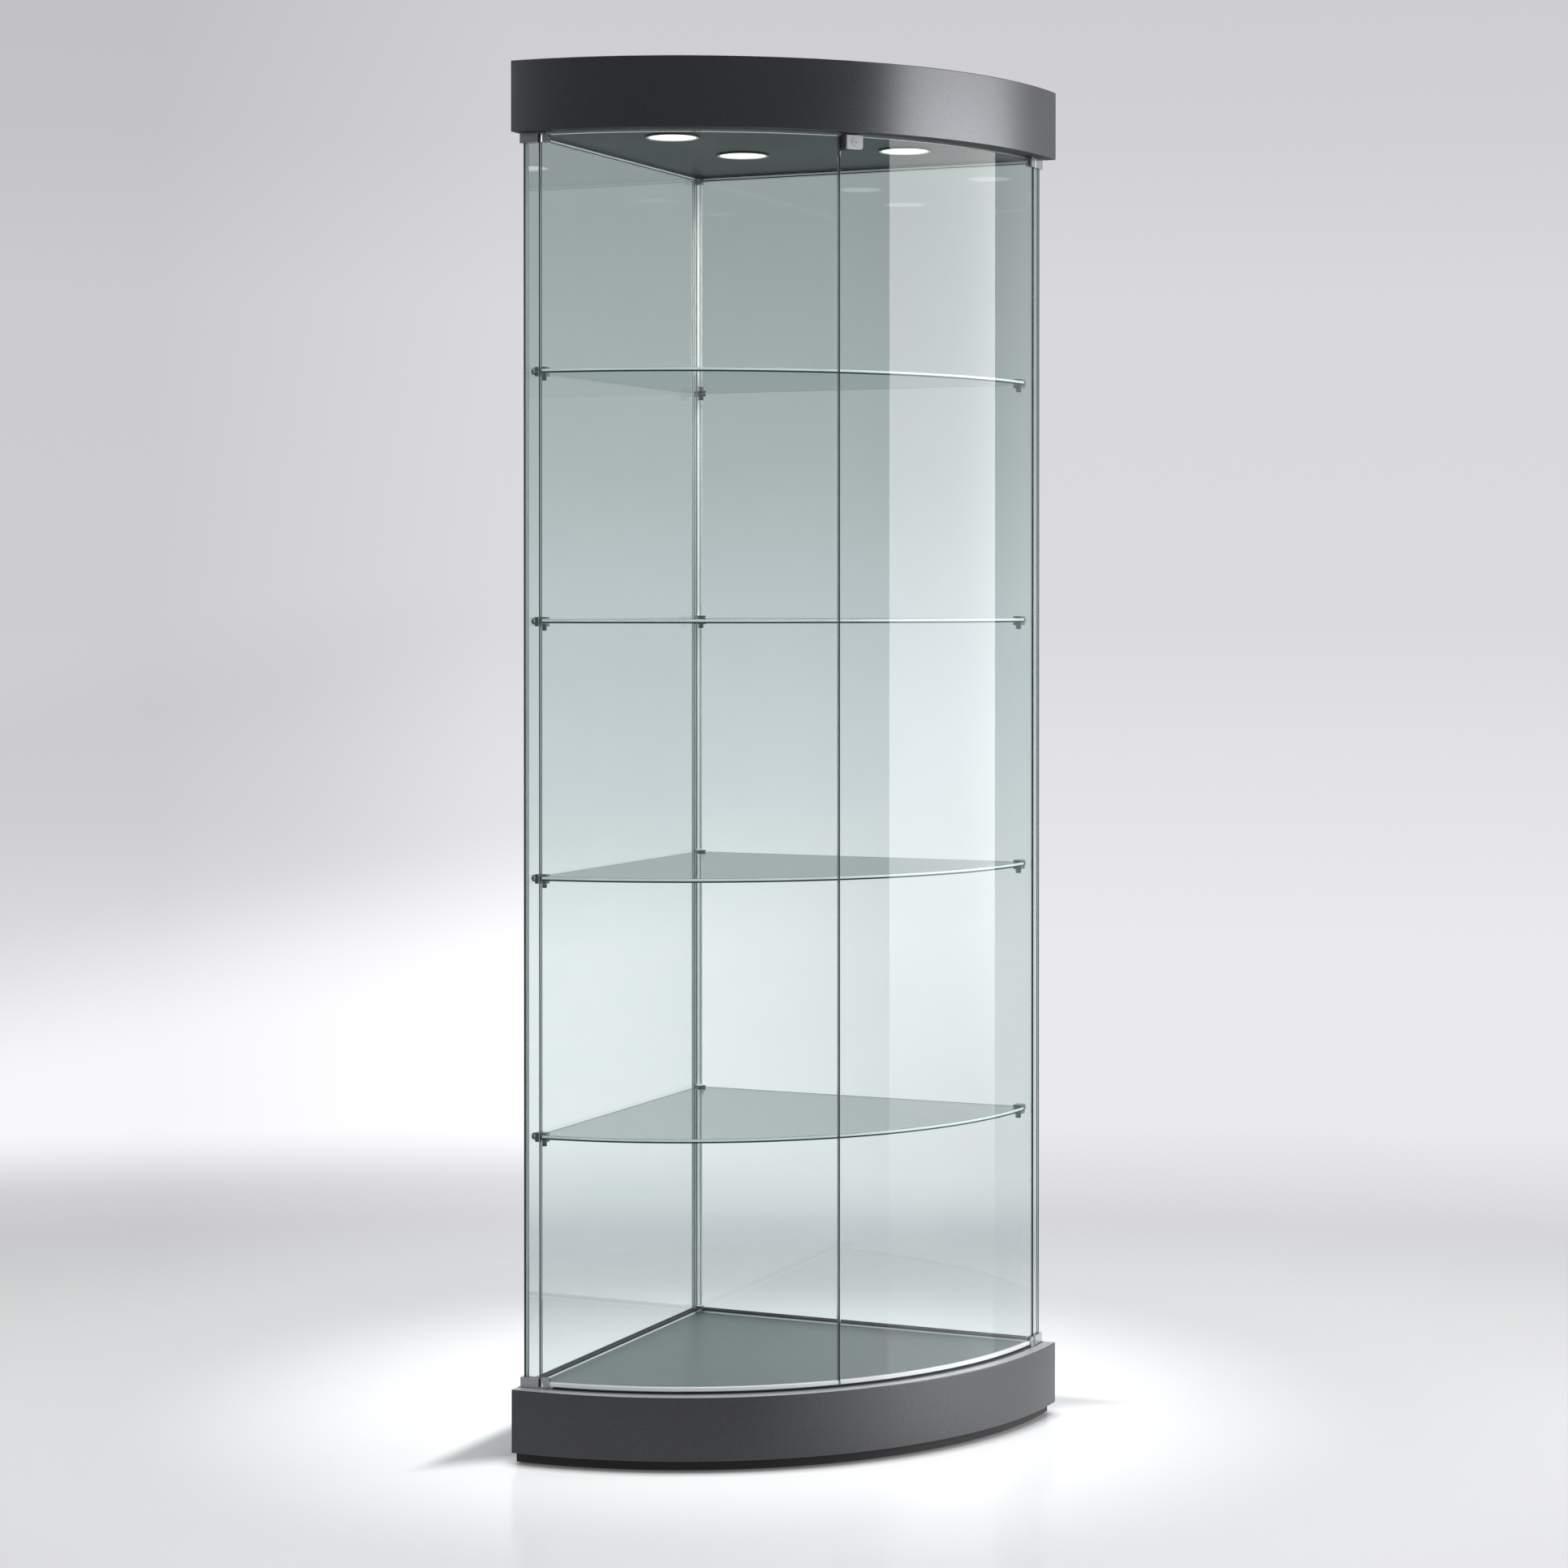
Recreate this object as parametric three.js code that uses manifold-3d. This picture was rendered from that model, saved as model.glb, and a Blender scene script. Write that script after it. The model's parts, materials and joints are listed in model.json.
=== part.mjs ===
// Quarter-round glass corner display cabinet with a lit header, two bent glass doors and four shelves.
// Millimetres. Pieces are drawn in the corner's own frame: X runs from the back corner along the left
// wall, Y along the right wall and Z up. Right-hand pieces are left-hand pieces with X and Y swapped.
// The last lines turn the corner so that the curved front faces -Y.

import * as THREE from 'three';
import { mergeVertices } from 'three/addons/utils/BufferGeometryUtils.js';
import Module from 'manifold-3d';

const wasm = await Module();
wasm.setup();

// Overall sizes
const sideLength = 600;          // along each wall, and the radius of the curved front
const totalHeight = 1975;
const headerHeight = 100;
const baseHeight = 90;           // base box above the plinth
const plinthThickness = 14;
const plinthFrontInset = 12;
const plinthSideInset = 2;
const floorGap = 2;              // plinth's underside above the floor
const boardThickness = 18;
const lidThickness = 12;
const lidRecess = 12;            // lid below the fascia's top edge

// Glass
const glassThickness = 6;
const shelfThickness = 6;
const sideReveal = 8;            // wall glass behind the box's side face
const frontReveal = 23;          // door glass behind the fascia's face
const returnWidth = 24;          // narrow fixed pane at each front corner
const doorGap = 3;               // between the fixed pane and the door
const seamGap = 2.5;             // between the two doors
const seamOffset = 12;           // seam to the right of the front's middle
const doorTopGap = 3;
const doorBottomGap = 3.3;       // under the door's rail

// Clearances
const seat = 0.3;                // hairline between pieces that bear on each other
const overrun = 2;               // how far a cutting shape runs past the face it cuts

// Levels
const plinthTop = floorGap + plinthThickness;
const deckTop = plinthTop + baseHeight;
const headerBottom = totalHeight - headerHeight;
const glassMiddle = (deckTop + headerBottom) / 2;

// Radii and lines seen from above
const frontRadius = sideLength;
const fasciaInnerRadius = frontRadius - boardThickness;
const doorOuterRadius = frontRadius - frontReveal;
const doorInnerRadius = doorOuterRadius - glassThickness;
const doorMiddleRadius = doorOuterRadius - glassThickness / 2;
const wallInnerLine = sideReveal + glassThickness;
const quarterTurn = Math.PI / 2;
const halfSpan = quarterTurn / 2;
const facetAngle = quarterTurn / 60;

// Wall channels and corner post
const trayThickness = 1.5;       // metal under the glass edge, in channels and clamps
const channelWall = 4;
const channelHeight = 6.5;
const postInnerLine = 20;
const postSlotDepth = 4;
const postCornerRadius = 2;
const collarReach = 8;           // collars that fix the post to deck and soffit
const collarHeight = 12;

// Corner clamps and pivots
const clampHeight = 13.7;
const knuckleRadius = 6.5;
const pivotSetback = 4.5;        // pivot axis from the door's edge
const pinRadius = 2.75;
const pinClearance = 0.3;
const pivotRunningGap = 0.5;
const shoeFloor = 4.5;
const shoeTail = 7.5;            // shoe past the pivot axis
const clampScrewRadius = 3.5;
const clampScrewLength = 3;

// Door rails
const railLip = 1;
const railGrip = 2.2;            // how far the lips reach up the glass
const railEndGap = 0.6;

// Shelves and their clips
const shelfHeightShares = [0.2, 0.407, 0.613, 0.813];
const shelfSideClearance = 6;
const shelfFrontClearance = 15;
const shelfBackCut = 8;
const shelfFrontCut = 5;
const clipWidth = 12;
const clipReach = 17.7;
const clipCheekAbove = 3;
const clipCheekBelow = 4.5;
const clipFromCorner = 8;
const clipPinRadius = 2.6;
const clipHoleRadius = 3;
const clipButtonRadius = 5;
const clipButtonThickness = 3.2;
const clipScrewRadius = 4;
const clipScrewLength = 6;
const bracketRoot = 26;          // bracket's hidden end, along the diagonal
const bracketReach = 44;

// Downlights
const lampPlaceShares = [[0.77, 0.31], [0.4, 0.325], [0.32, 0.72]];
const trimRadius = 39.5;
const trimThickness = 2;
const trimChamfer = 1.2;
const canRadius = 36;
const canHeight = 34;            // above the soffit's underside
const canHoleClearance = 0.4;
const lensRadius = 34;
const lensThickness = 3;
const lensInset = 0.6;
const lensDome = 0.9;
const finDepth = 5;
const finCount = 3;

// Lamp driver, its leads and the power inlet
const driverLength = 110;
const driverWidth = 42;
const driverHeight = 26;
const driverTab = 10;
const driverTabThickness = 2;
const driverPlaceShares = [0.12, 0.1];
const leadRadius = 2.5;
const leadBend = 14;
const inletPlaceShares = [0.085, 0.085];
const inletFlangeRadius = 12;
const inletFlangeThickness = 2.5;
const inletBodyRadius = 9;
const inletBodyDepth = 22;
const inletWellRadius = 6;
const inletPinRadius = 1.2;
const cordNotchWidth = 24;
const cordNotchDepth = 9;
const cordNotchPlace = 40;       // from the back corner

// Levelling feet
const footPlaceShares = [[0.1, 0.1], [0.88, 0.1], [0.1, 0.88], [0.62, 0.62]];
const footRadius = 14;
const footThickness = 5;
const footChamfer = 1.5;
const studRadius = 4;
const studLength = 26;

// Lock on the right door
const lockWidth = 25;
const lockHeight = 20;
const lockFromSeam = 9.5;
const lockPlate = 4.7;           // in front of the glass
const lockDepth = 12;            // behind the glass
const lockCornerRadius = 3.5;
const lockBridge = 1.2;          // over the glass edge
const barrelRadius = 5;
const barrelProud = 0.5;
const camRadius = 7;
const camThickness = 4;
const camPinRadius = 1.2;
const camPinThrow = 4.2;
const boltWidth = 11;
const boltThickness = 3.8;
const boltHeight = 15.5;
const keySlotLength = 5.5;
const keySlotWidth = 1.4;
const keySlotDepth = 2;
const boltPocketDepth = 8;

// Turns a closed mesh into a solid that can be joined and cut.
function solidOf(geometry) {
  const bare = new THREE.BufferGeometry();
  bare.setAttribute('position', geometry.getAttribute('position'));
  bare.setIndex(geometry.getIndex());
  const merged = mergeVertices(bare);
  const corners = merged.getIndex().array;
  const kept = [];
  for (let i = 0; i < corners.length; i += 3) {
    const [a, b, c] = [corners[i], corners[i + 1], corners[i + 2]];
    if (a !== b && b !== c && c !== a) kept.push(a, b, c);
  }
  return new wasm.Manifold(new wasm.Mesh({
    numProp: 3,
    vertProperties: new Float32Array(merged.getAttribute('position').array),
    triVerts: new Uint32Array(kept),
  }));
}

function geometryOf(solid) {
  const mesh = solid.getMesh();
  const geometry = new THREE.BufferGeometry();
  geometry.setAttribute('position', new THREE.BufferAttribute(mesh.vertProperties, mesh.numProp));
  geometry.setIndex(new THREE.BufferAttribute(mesh.triVerts, 1));
  return geometry;
}

function joined(...geometries) {
  return geometryOf(geometries.map(solidOf).reduce((whole, piece) => whole.add(piece)));
}

function cut(geometry, ...tools) {
  return geometryOf(tools.map(solidOf).reduce((whole, tool) => whole.subtract(tool), solidOf(geometry)));
}

// A mirror image turns every face inside out, so two corners of each face change places.
function reflected(geometry, matrix) {
  const image = geometryOf(solidOf(geometry)).applyMatrix4(matrix);
  const corners = image.getIndex();
  for (let i = 0; i < corners.count; i += 3) {
    const first = corners.getX(i);
    corners.setX(i, corners.getX(i + 1));
    corners.setX(i + 1, first);
  }
  return image;
}

// The same piece on the right-hand side: X and Y change places.
function rightHand(geometry) {
  return reflected(geometry, new THREE.Matrix4().set(0, 1, 0, 0, 1, 0, 0, 0, 0, 0, 1, 0, 0, 0, 0, 1));
}

// The same piece hung from the header: mirrored about the middle of the glass.
function upturned(geometry) {
  return reflected(geometry, new THREE.Matrix4().set(1, 0, 0, 0, 0, 1, 0, 0, 0, 0, -1, 2 * glassMiddle, 0, 0, 0, 1));
}

// Upright solid with the given outline and holes, from one level to another.
function prism(outline, bottom, top, holes = []) {
  const shape = new THREE.Shape(outline);
  shape.holes = holes.map((hole) => new THREE.Path(hole));
  const geometry = new THREE.ExtrudeGeometry(shape, { depth: top - bottom, bevelEnabled: false });
  return geometry.translate(0, 0, bottom);
}

function block(xLow, xHigh, yLow, yHigh, zLow, zHigh) {
  const box = new THREE.BoxGeometry(xHigh - xLow, yHigh - yLow, zHigh - zLow);
  return box.translate((xLow + xHigh) / 2, (yLow + yHigh) / 2, (zLow + zHigh) / 2);
}

// Points of an arc about the back corner. All arcs share one set of facets, so nested faces are parallel.
function arcPoints(radius, start, end) {
  const angles = [start];
  const first = Math.floor(start / facetAngle + 1);
  for (let step = first; step * facetAngle < end; step += 1) angles.push(step * facetAngle);
  angles.push(end);
  const spaced = angles.filter((angle, i) => i === 0 || angle - angles[i - 1] > facetAngle / 50);
  return spaced.map((angle) => new THREE.Vector2(radius * Math.cos(angle), radius * Math.sin(angle)));
}

// Bent panel between two radii and two angles about the back corner.
function bentSlab(innerRadius, outerRadius, start, end, bottom, top) {
  const outer = arcPoints(outerRadius, start, end);
  const inner = arcPoints(innerRadius, start, end).reverse();
  return prism([...outer, ...inner], bottom, top);
}

// Quarter-round board, set in from both walls.
function quarterBoard(inset, radius, bottom, top, holes = []) {
  const start = Math.asin(inset / radius);
  const corner = new THREE.Vector2(inset, inset);
  return prism([corner, ...arcPoints(radius, start, quarterTurn - start)], bottom, top, holes);
}

function circlePoints(x, y, radius, count = 24) {
  const points = [];
  for (let i = 0; i < count; i += 1) {
    const angle = (i * 4 * quarterTurn) / count;
    points.push(new THREE.Vector2(x + radius * Math.cos(angle), y + radius * Math.sin(angle)));
  }
  return points;
}

// Upright round bar.
function post(x, y, radius, bottom, top, count = 24) {
  return prism(circlePoints(x, y, radius, count), bottom, top);
}

// Round bar along X or Y.
function barAlongX(xLow, xHigh, y, z, radius, count = 20) {
  const bar = new THREE.CylinderGeometry(radius, radius, xHigh - xLow, count);
  return bar.rotateZ(quarterTurn).translate((xLow + xHigh) / 2, y, z);
}

function barAlongY(x, yLow, yHigh, z, radius, count = 20) {
  const bar = new THREE.CylinderGeometry(radius, radius, yHigh - yLow, count);
  return bar.translate(x, (yLow + yHigh) / 2, z);
}

// Turned piece: profile points are radius and height, standing on Z at the given place.
function turned(profile, x, y, count = 32) {
  const points = profile.map(([radius, height]) => new THREE.Vector2(radius, height));
  return new THREE.LatheGeometry(points, count).rotateX(quarterTurn).translate(x, y, 0);
}

// Angle about the back corner for a distance along the door's face from the box's side line.
function alongDoor(distance) {
  return distance / doorOuterRadius;
}

const returnEnd = sideReveal + returnWidth;
const doorStart = returnEnd + doorGap;
const pivotPlace = doorStart + pivotSetback;
const shoeEnd = pivotPlace + shoeTail;
const pivotAngle = alongDoor(pivotPlace);
const pivotX = doorMiddleRadius * Math.cos(pivotAngle);
const pivotY = doorMiddleRadius * Math.sin(pivotAngle);
const leftDoorEnd = halfSpan + alongDoor(seamOffset - seamGap / 2);
const rightDoorEnd = halfSpan - alongDoor(seamOffset + seamGap / 2);
const clampInnerRadius = doorMiddleRadius - knuckleRadius;
const clampOuterRadius = doorMiddleRadius + knuckleRadius;
const trayTop = deckTop + seat + trayThickness;
const fixedGlassBottom = trayTop + seat;
const clampTop = deckTop + seat + clampHeight;
const shoeBottom = trayTop + pivotRunningGap;
const shoeSeat = shoeBottom + shoeFloor;
const doorGlassBottom = shoeSeat + seat;
const doorGlassTop = headerBottom - doorTopGap;
const shelfInset = wallInnerLine + shelfSideClearance;
const shelfRadius = doorInnerRadius - shelfFrontClearance;
const shelfCornerX = Math.sqrt(shelfRadius ** 2 - shelfInset ** 2);
const clipPlace = shelfCornerX - clipFromCorner;
const shelfTops = shelfHeightShares.map((share) => deckTop + share * (headerBottom - deckTop));

// Base and header boxes

function fascia(bottom, top) {
  return bentSlab(fasciaInnerRadius, frontRadius, 0, quarterTurn, bottom, top);
}

function backPanelEnd() {
  return Math.sqrt(fasciaInnerRadius ** 2 - boardThickness ** 2) - seat;
}

function backPanel(start, bottom, top) {
  return block(start, backPanelEnd(), 0, boardThickness, bottom, top);
}

function headerBackLeft() {
  const low = cordNotchPlace;
  const notch = block(low, low + cordNotchWidth, -overrun, boardThickness + overrun,
    totalHeight - cordNotchDepth, totalHeight + overrun);
  return cut(backPanel(0, headerBottom, totalHeight), notch);
}

function insideBoard(bottom, top, holes) {
  return quarterBoard(boardThickness + seat, fasciaInnerRadius - seat, bottom, top, holes);
}

function placesFrom(shares) {
  return shares.map(([alongLeft, alongRight]) => [alongLeft * sideLength, alongRight * sideLength]);
}

const lampPlaces = placesFrom(lampPlaceShares);
const footPlaces = placesFrom(footPlaceShares);
const [[inletX, inletY]] = placesFrom([inletPlaceShares]);
const [[driverX, driverY]] = placesFrom([driverPlaceShares]);

function plinthBoard() {
  const radius = frontRadius - plinthFrontInset;
  const studHoles = footPlaces.map(([x, y]) => circlePoints(x, y, studRadius + seat));
  const board = quarterBoard(plinthSideInset, radius, floorGap, plinthTop, studHoles);
  const pockets = footPlaces.map(([x, y]) => post(x, y, footRadius + overrun,
    floorGap - overrun, footThickness + seat));
  return cut(board, ...pockets);
}

function levellingFoot([x, y]) {
  const profile = [
    [0, 0], [footRadius - footChamfer, 0], [footRadius, footChamfer], [footRadius, footThickness - footChamfer],
    [footRadius - footChamfer, footThickness], [studRadius, footThickness], [studRadius, footThickness + studLength],
    [0, footThickness + studLength],
  ];
  return turned(profile, x, y, 20);
}

function soffit() {
  const holes = lampPlaces.map(([x, y]) => circlePoints(x, y, canRadius + canHoleClearance, 24));
  const board = insideBoard(headerBottom, headerBottom + boardThickness, holes);
  return cut(board, rightHand(lockPlaced(boltPocket())));
}

function headerLid() {
  const top = totalHeight - lidRecess;
  return insideBoard(top - lidThickness, top, [circlePoints(inletX, inletY, inletBodyRadius + seat)]);
}

// Downlights: a turned can with fins and a trim ring, and a lens pressed into its mouth.

const trimTop = headerBottom - seat;
const trimBottom = trimTop - trimThickness;
const lensFace = trimBottom + lensInset;
const canTop = headerBottom + canHeight;

function lampBody([x, y]) {
  const mouthRadius = lensRadius + seat;
  const mouthTop = lensFace + lensThickness + seat;
  const finPitch = (canTop - headerBottom - boardThickness) / (2 * finCount);
  const profile = [
    [0, mouthTop], [mouthRadius, mouthTop], [mouthRadius, trimBottom], [trimRadius - trimChamfer, trimBottom],
    [trimRadius, trimBottom + trimChamfer], [trimRadius, trimTop], [canRadius, trimTop],
  ];
  for (let fin = 0; fin < finCount; fin += 1) {
    const low = canTop - (2 * (finCount - fin) - 1) * finPitch;
    profile.push([canRadius, low - finPitch / 2], [canRadius - finDepth, low - finPitch / 2]);
    profile.push([canRadius - finDepth, low + finPitch / 2], [canRadius, low + finPitch / 2]);
  }
  profile.push([canRadius, canTop], [0, canTop]);
  return turned(profile, x, y, 24);
}

function lampLens([x, y]) {
  const back = lensFace + lensThickness;
  const profile = [[0, lensFace]];
  for (const share of [0.4, 0.7, 0.9]) profile.push([lensRadius * share, lensFace + lensDome * share ** 2]);
  profile.push([lensRadius, lensFace + lensDome], [lensRadius, back], [0, back]);
  return turned(profile, x, y, 24);
}

// Lamp driver and its leads

function lead(points) {
  const route = new THREE.CatmullRomCurve3(points.map(([x, y, z]) => new THREE.Vector3(x, y, z)));
  const section = new THREE.Shape(circlePoints(0, 0, leadRadius, 6));
  return new THREE.ExtrudeGeometry(section, { steps: 16, bevelEnabled: false, extrudePath: route });
}

function lampDriver() {
  const floor = headerBottom + boardThickness + seat;
  const [endX, endY] = [driverX + driverLength, driverY + driverWidth];
  const box = block(driverX, endX, driverY, endY, floor, floor + driverHeight);
  const tabs = block(driverX - driverTab, endX + driverTab, driverY + driverTab, endY - driverTab,
    floor, floor + driverTabThickness);
  const middle = floor + driverHeight / 2;
  const leads = lampPlaces.map(([x, y], i) => {
    const startY = driverY + (driverWidth * (i + 1)) / (lampPlaces.length + 1);
    const [fromX, reach] = [endX + 2 * leadBend, canTop + leadBend];
    const inX = endX - overrun;
    return lead([
      [inX, startY, middle], [endX + leadBend, startY, middle],
      [fromX + (x - fromX) / 2, startY + (y - startY) / 2, reach],
      [x - (x - fromX) / 8, y - (y - startY) / 8, reach], [x, y, reach - leadRadius],
      [x, y, canTop + leadRadius], [x, y, canTop + seat],
    ]);
  });
  const inletEnd = totalHeight - lidRecess - inletBodyDepth - seat;
  const supplyY = driverY + driverWidth / 4;
  const supply = lead([
    [driverX + overrun, supplyY, middle], [inletX + leadRadius, (supplyY + inletY) / 2, middle],
    [inletX, inletY, (middle + inletEnd) / 2], [inletX, inletY, inletEnd],
  ]);
  return joined(box, tabs, ...leads, supply);
}

function powerInlet() {
  const face = totalHeight - lidRecess + seat;
  const top = face + inletFlangeThickness;
  const bottom = face - seat - inletBodyDepth;
  const wellFloor = bottom + inletFlangeThickness;
  const profile = [
    [0, bottom], [inletBodyRadius, bottom], [inletBodyRadius, face], [inletFlangeRadius, face],
    [inletFlangeRadius, top], [inletWellRadius, top], [inletWellRadius, wellFloor],
    [inletPinRadius, wellFloor], [inletPinRadius, face], [0, face],
  ];
  return turned(profile, inletX, inletY, 24);
}

// Fixed glass

const wallGlassStart = postInnerLine - postSlotDepth + seat;
const wallGlassEnd = Math.sqrt(doorInnerRadius ** 2 - wallInnerLine ** 2) - seat;
const wallGlassTop = 2 * glassMiddle - fixedGlassBottom;

// The plate is drawn flat, as X and height, and then stood up.
function wallGlass() {
  const [left, right] = [wallGlassStart, wallGlassEnd];
  const outline = [
    new THREE.Vector2(left, fixedGlassBottom), new THREE.Vector2(right, fixedGlassBottom),
    new THREE.Vector2(right, wallGlassTop), new THREE.Vector2(left, wallGlassTop),
  ];
  const holes = shelfTops.map((top) => circlePoints(clipPlace, top - shelfThickness / 2, clipHoleRadius, 20));
  return prism(outline, 0, glassThickness, holes).rotateX(quarterTurn).translate(0, wallInnerLine, 0);
}

function returnGlass() {
  return bentSlab(doorInnerRadius, doorOuterRadius, alongDoor(sideReveal), alongDoor(returnEnd),
    fixedGlassBottom, wallGlassTop);
}

// U-channel that holds the wall glass along the deck
function wallChannel() {
  const start = postInnerLine + seat;
  const end = clampInnerRadius - 2 * overrun;
  const low = deckTop + seat;
  const bar = block(start, end, sideReveal - channelWall, wallInnerLine + channelWall, low, low + channelHeight);
  const groove = block(start - overrun, end + overrun, sideReveal - seat, wallInnerLine + seat,
    trayTop, low + channelHeight + overrun);
  return cut(bar, groove);
}

// Corner post: a slotted section with rounded edges, with a collar at each end and a bracket under each
// shelf's back corner.

function postSection() {
  const low = sideReveal - channelWall;
  const high = postInnerLine;
  const near = sideReveal - seat;
  const far = wallInnerLine + seat;
  const slotFloor = high - postSlotDepth;
  const edge = postCornerRadius;
  const rounded = (x, y, from) => [0, 1, 2, 3].map((step) => {
    const angle = from + (step * quarterTurn) / 3;
    return new THREE.Vector2(x + edge * Math.cos(angle), y + edge * Math.sin(angle));
  });
  return [
    ...rounded(low + edge, low + edge, 2 * quarterTurn),
    new THREE.Vector2(high, low), new THREE.Vector2(high, near), new THREE.Vector2(slotFloor, near),
    new THREE.Vector2(slotFloor, far), new THREE.Vector2(high, far),
    ...rounded(high - edge, high - edge, 0),
    new THREE.Vector2(far, high), new THREE.Vector2(far, slotFloor), new THREE.Vector2(near, slotFloor),
    new THREE.Vector2(near, high), new THREE.Vector2(low, high),
  ];
}

const shelfBackReach = (2 * shelfInset + shelfBackCut) / Math.SQRT2;

// Drawn along X and then turned onto the diagonal.
function shelfBracket(shelfTop) {
  const shelfBottom = shelfTop - shelfThickness;
  const half = clipWidth / 2;
  const low = shelfBottom - clipCheekBelow;
  const body = block(bracketRoot, bracketReach, -half, half, low, shelfTop + clipCheekAbove);
  const slot = block(shelfBackReach - seat, bracketReach + overrun, -half - overrun, half + overrun,
    shelfBottom - seat, shelfTop + seat);
  const screw = post((shelfBackReach + bracketReach) / 2, 0, clipScrewRadius, low - clipScrewLength, low + seat, 16);
  return joined(cut(body, slot), screw).rotateZ(halfSpan);
}

function cornerPost() {
  const [low, high] = [deckTop + seat, headerBottom - seat];
  const collarEdge = postInnerLine + collarReach;
  const collarStart = postInnerLine - postCornerRadius;
  const collars = [low, high - collarHeight].map((level) => block(collarStart, collarEdge, collarStart, collarEdge,
    level, level + collarHeight));
  return joined(prism(postSection(), low, high), ...collars, ...shelfTops.map(shelfBracket));
}

// Shelves and the clips through the wall glass

function shelf(top) {
  const startAngle = Math.asin(shelfInset / shelfRadius) + shelfFrontCut / shelfRadius;
  const frontX = shelfCornerX - shelfFrontCut;
  const backX = shelfInset + shelfBackCut;
  const outline = [
    new THREE.Vector2(backX, shelfInset), new THREE.Vector2(frontX, shelfInset),
    ...arcPoints(shelfRadius, startAngle, quarterTurn - startAngle),
    new THREE.Vector2(shelfInset, frontX), new THREE.Vector2(shelfInset, backX),
  ];
  return prism(outline, top - shelfThickness, top);
}

function shelfClip(shelfTop) {
  const shelfBottom = shelfTop - shelfThickness;
  const middle = shelfTop - shelfThickness / 2;
  const half = clipWidth / 2;
  const [inner, outer] = [wallInnerLine + seat, sideReveal - seat];
  const low = shelfBottom - clipCheekBelow;
  const body = block(clipPlace - half, clipPlace + half, inner, inner + clipReach, low, shelfTop + clipCheekAbove);
  const slot = block(clipPlace - half - overrun, clipPlace + half + overrun, shelfInset - seat,
    inner + clipReach + overrun, shelfBottom - seat, shelfTop + seat);
  const pin = barAlongY(clipPlace, outer - seat, inner + seat, middle, clipPinRadius, 16);
  const button = barAlongY(clipPlace, outer - clipButtonThickness, outer, middle, clipButtonRadius, 20);
  const screwPlace = (shelfInset + inner + clipReach) / 2;
  const screw = post(clipPlace, screwPlace, clipScrewRadius, low - clipScrewLength, low + seat, 16);
  return joined(cut(body, slot), pin, button, screw);
}

// Corner clamps hold the return glass and the wall glass, and carry the door's pivot pin.

function cornerClamp() {
  const low = deckTop + seat;
  const outerEnd = alongDoor(sideReveal - channelWall);
  const innerEnd = alongDoor(returnEnd);
  const body = bentSlab(clampInnerRadius, clampOuterRadius, outerEnd, innerEnd, low, clampTop);
  const returnSlot = bentSlab(doorInnerRadius - seat, doorOuterRadius + seat, alongDoor(sideReveal - seat),
    alongDoor(returnEnd + overrun), trayTop, clampTop + overrun);
  const wallSlot = block(clampInnerRadius - 2 * overrun, doorMiddleRadius, sideReveal - seat, wallInnerLine + seat,
    trayTop, clampTop + overrun);
  const tray = bentSlab(clampInnerRadius, clampOuterRadius, outerEnd, pivotAngle, low, trayTop);
  const trayTip = post(pivotX, pivotY, knuckleRadius, low, trayTop, 32);
  const pin = post(pivotX, pivotY, pinRadius, low, shoeSeat - pivotRunningGap);
  const screwMiddle = (low + clampTop) / 2 + trayThickness;
  const screw = barAlongX(clampInnerRadius - clampScrewLength, clampInnerRadius + 2 * seat, 0, screwMiddle,
    clampScrewRadius, 16).rotateZ(alongDoor((wallInnerLine + returnEnd) / 2));
  return joined(cut(body, returnSlot, wallSlot), tray, trayTip, pin, screw);
}

// Pivot shoe: a rounded block gripped on the door's corner, with the bore that turns on the pin
function pivotShoe() {
  const knuckle = post(pivotX, pivotY, knuckleRadius, shoeBottom, clampTop, 32);
  const tail = bentSlab(clampInnerRadius, clampOuterRadius, pivotAngle, alongDoor(shoeEnd), shoeBottom, clampTop);
  const glassSlot = bentSlab(doorInnerRadius - seat, doorOuterRadius + seat, alongDoor(doorStart - seat),
    alongDoor(shoeEnd + overrun), shoeSeat, clampTop + overrun);
  const bore = post(pivotX, pivotY, pinRadius + pinClearance, shoeBottom - overrun, shoeSeat + overrun);
  return cut(joined(knuckle, tail), glassSlot, bore);
}

// Doors

// Both doors are drawn left-handed, each with its own angle for the edge at the seam.
function doorGlass(endAngle) {
  const start = alongDoor(doorStart);
  const pane = bentSlab(doorInnerRadius, doorOuterRadius, start, endAngle, doorGlassBottom, doorGlassTop);
  const notchBottom = 2 * glassMiddle - doorGlassBottom;
  const notch = bentSlab(doorInnerRadius - overrun, doorOuterRadius + overrun, start - alongDoor(overrun),
    alongDoor(shoeEnd + railEndGap), notchBottom, doorGlassTop + overrun);
  return cut(pane, notch);
}

function doorRail(endAngle) {
  const [start, end] = [alongDoor(shoeEnd + railEndGap), endAngle - alongDoor(railEndGap)];
  const [grooveInner, grooveOuter] = [doorInnerRadius - seat, doorOuterRadius + seat];
  const low = deckTop + doorBottomGap;
  const top = doorGlassBottom + railGrip;
  const bar = bentSlab(grooveInner - railLip, grooveOuter + railLip, start, end, low, top);
  const groove = bentSlab(grooveInner, grooveOuter, start - alongDoor(overrun), end + alongDoor(overrun),
    doorGlassBottom - seat, top + overrun);
  return cut(bar, groove);
}

// Lock. Its pieces are drawn with X outwards from the glass's outer face, Y towards the seam and Z up
// from the glass's top edge, and then placed on the door.

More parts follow.
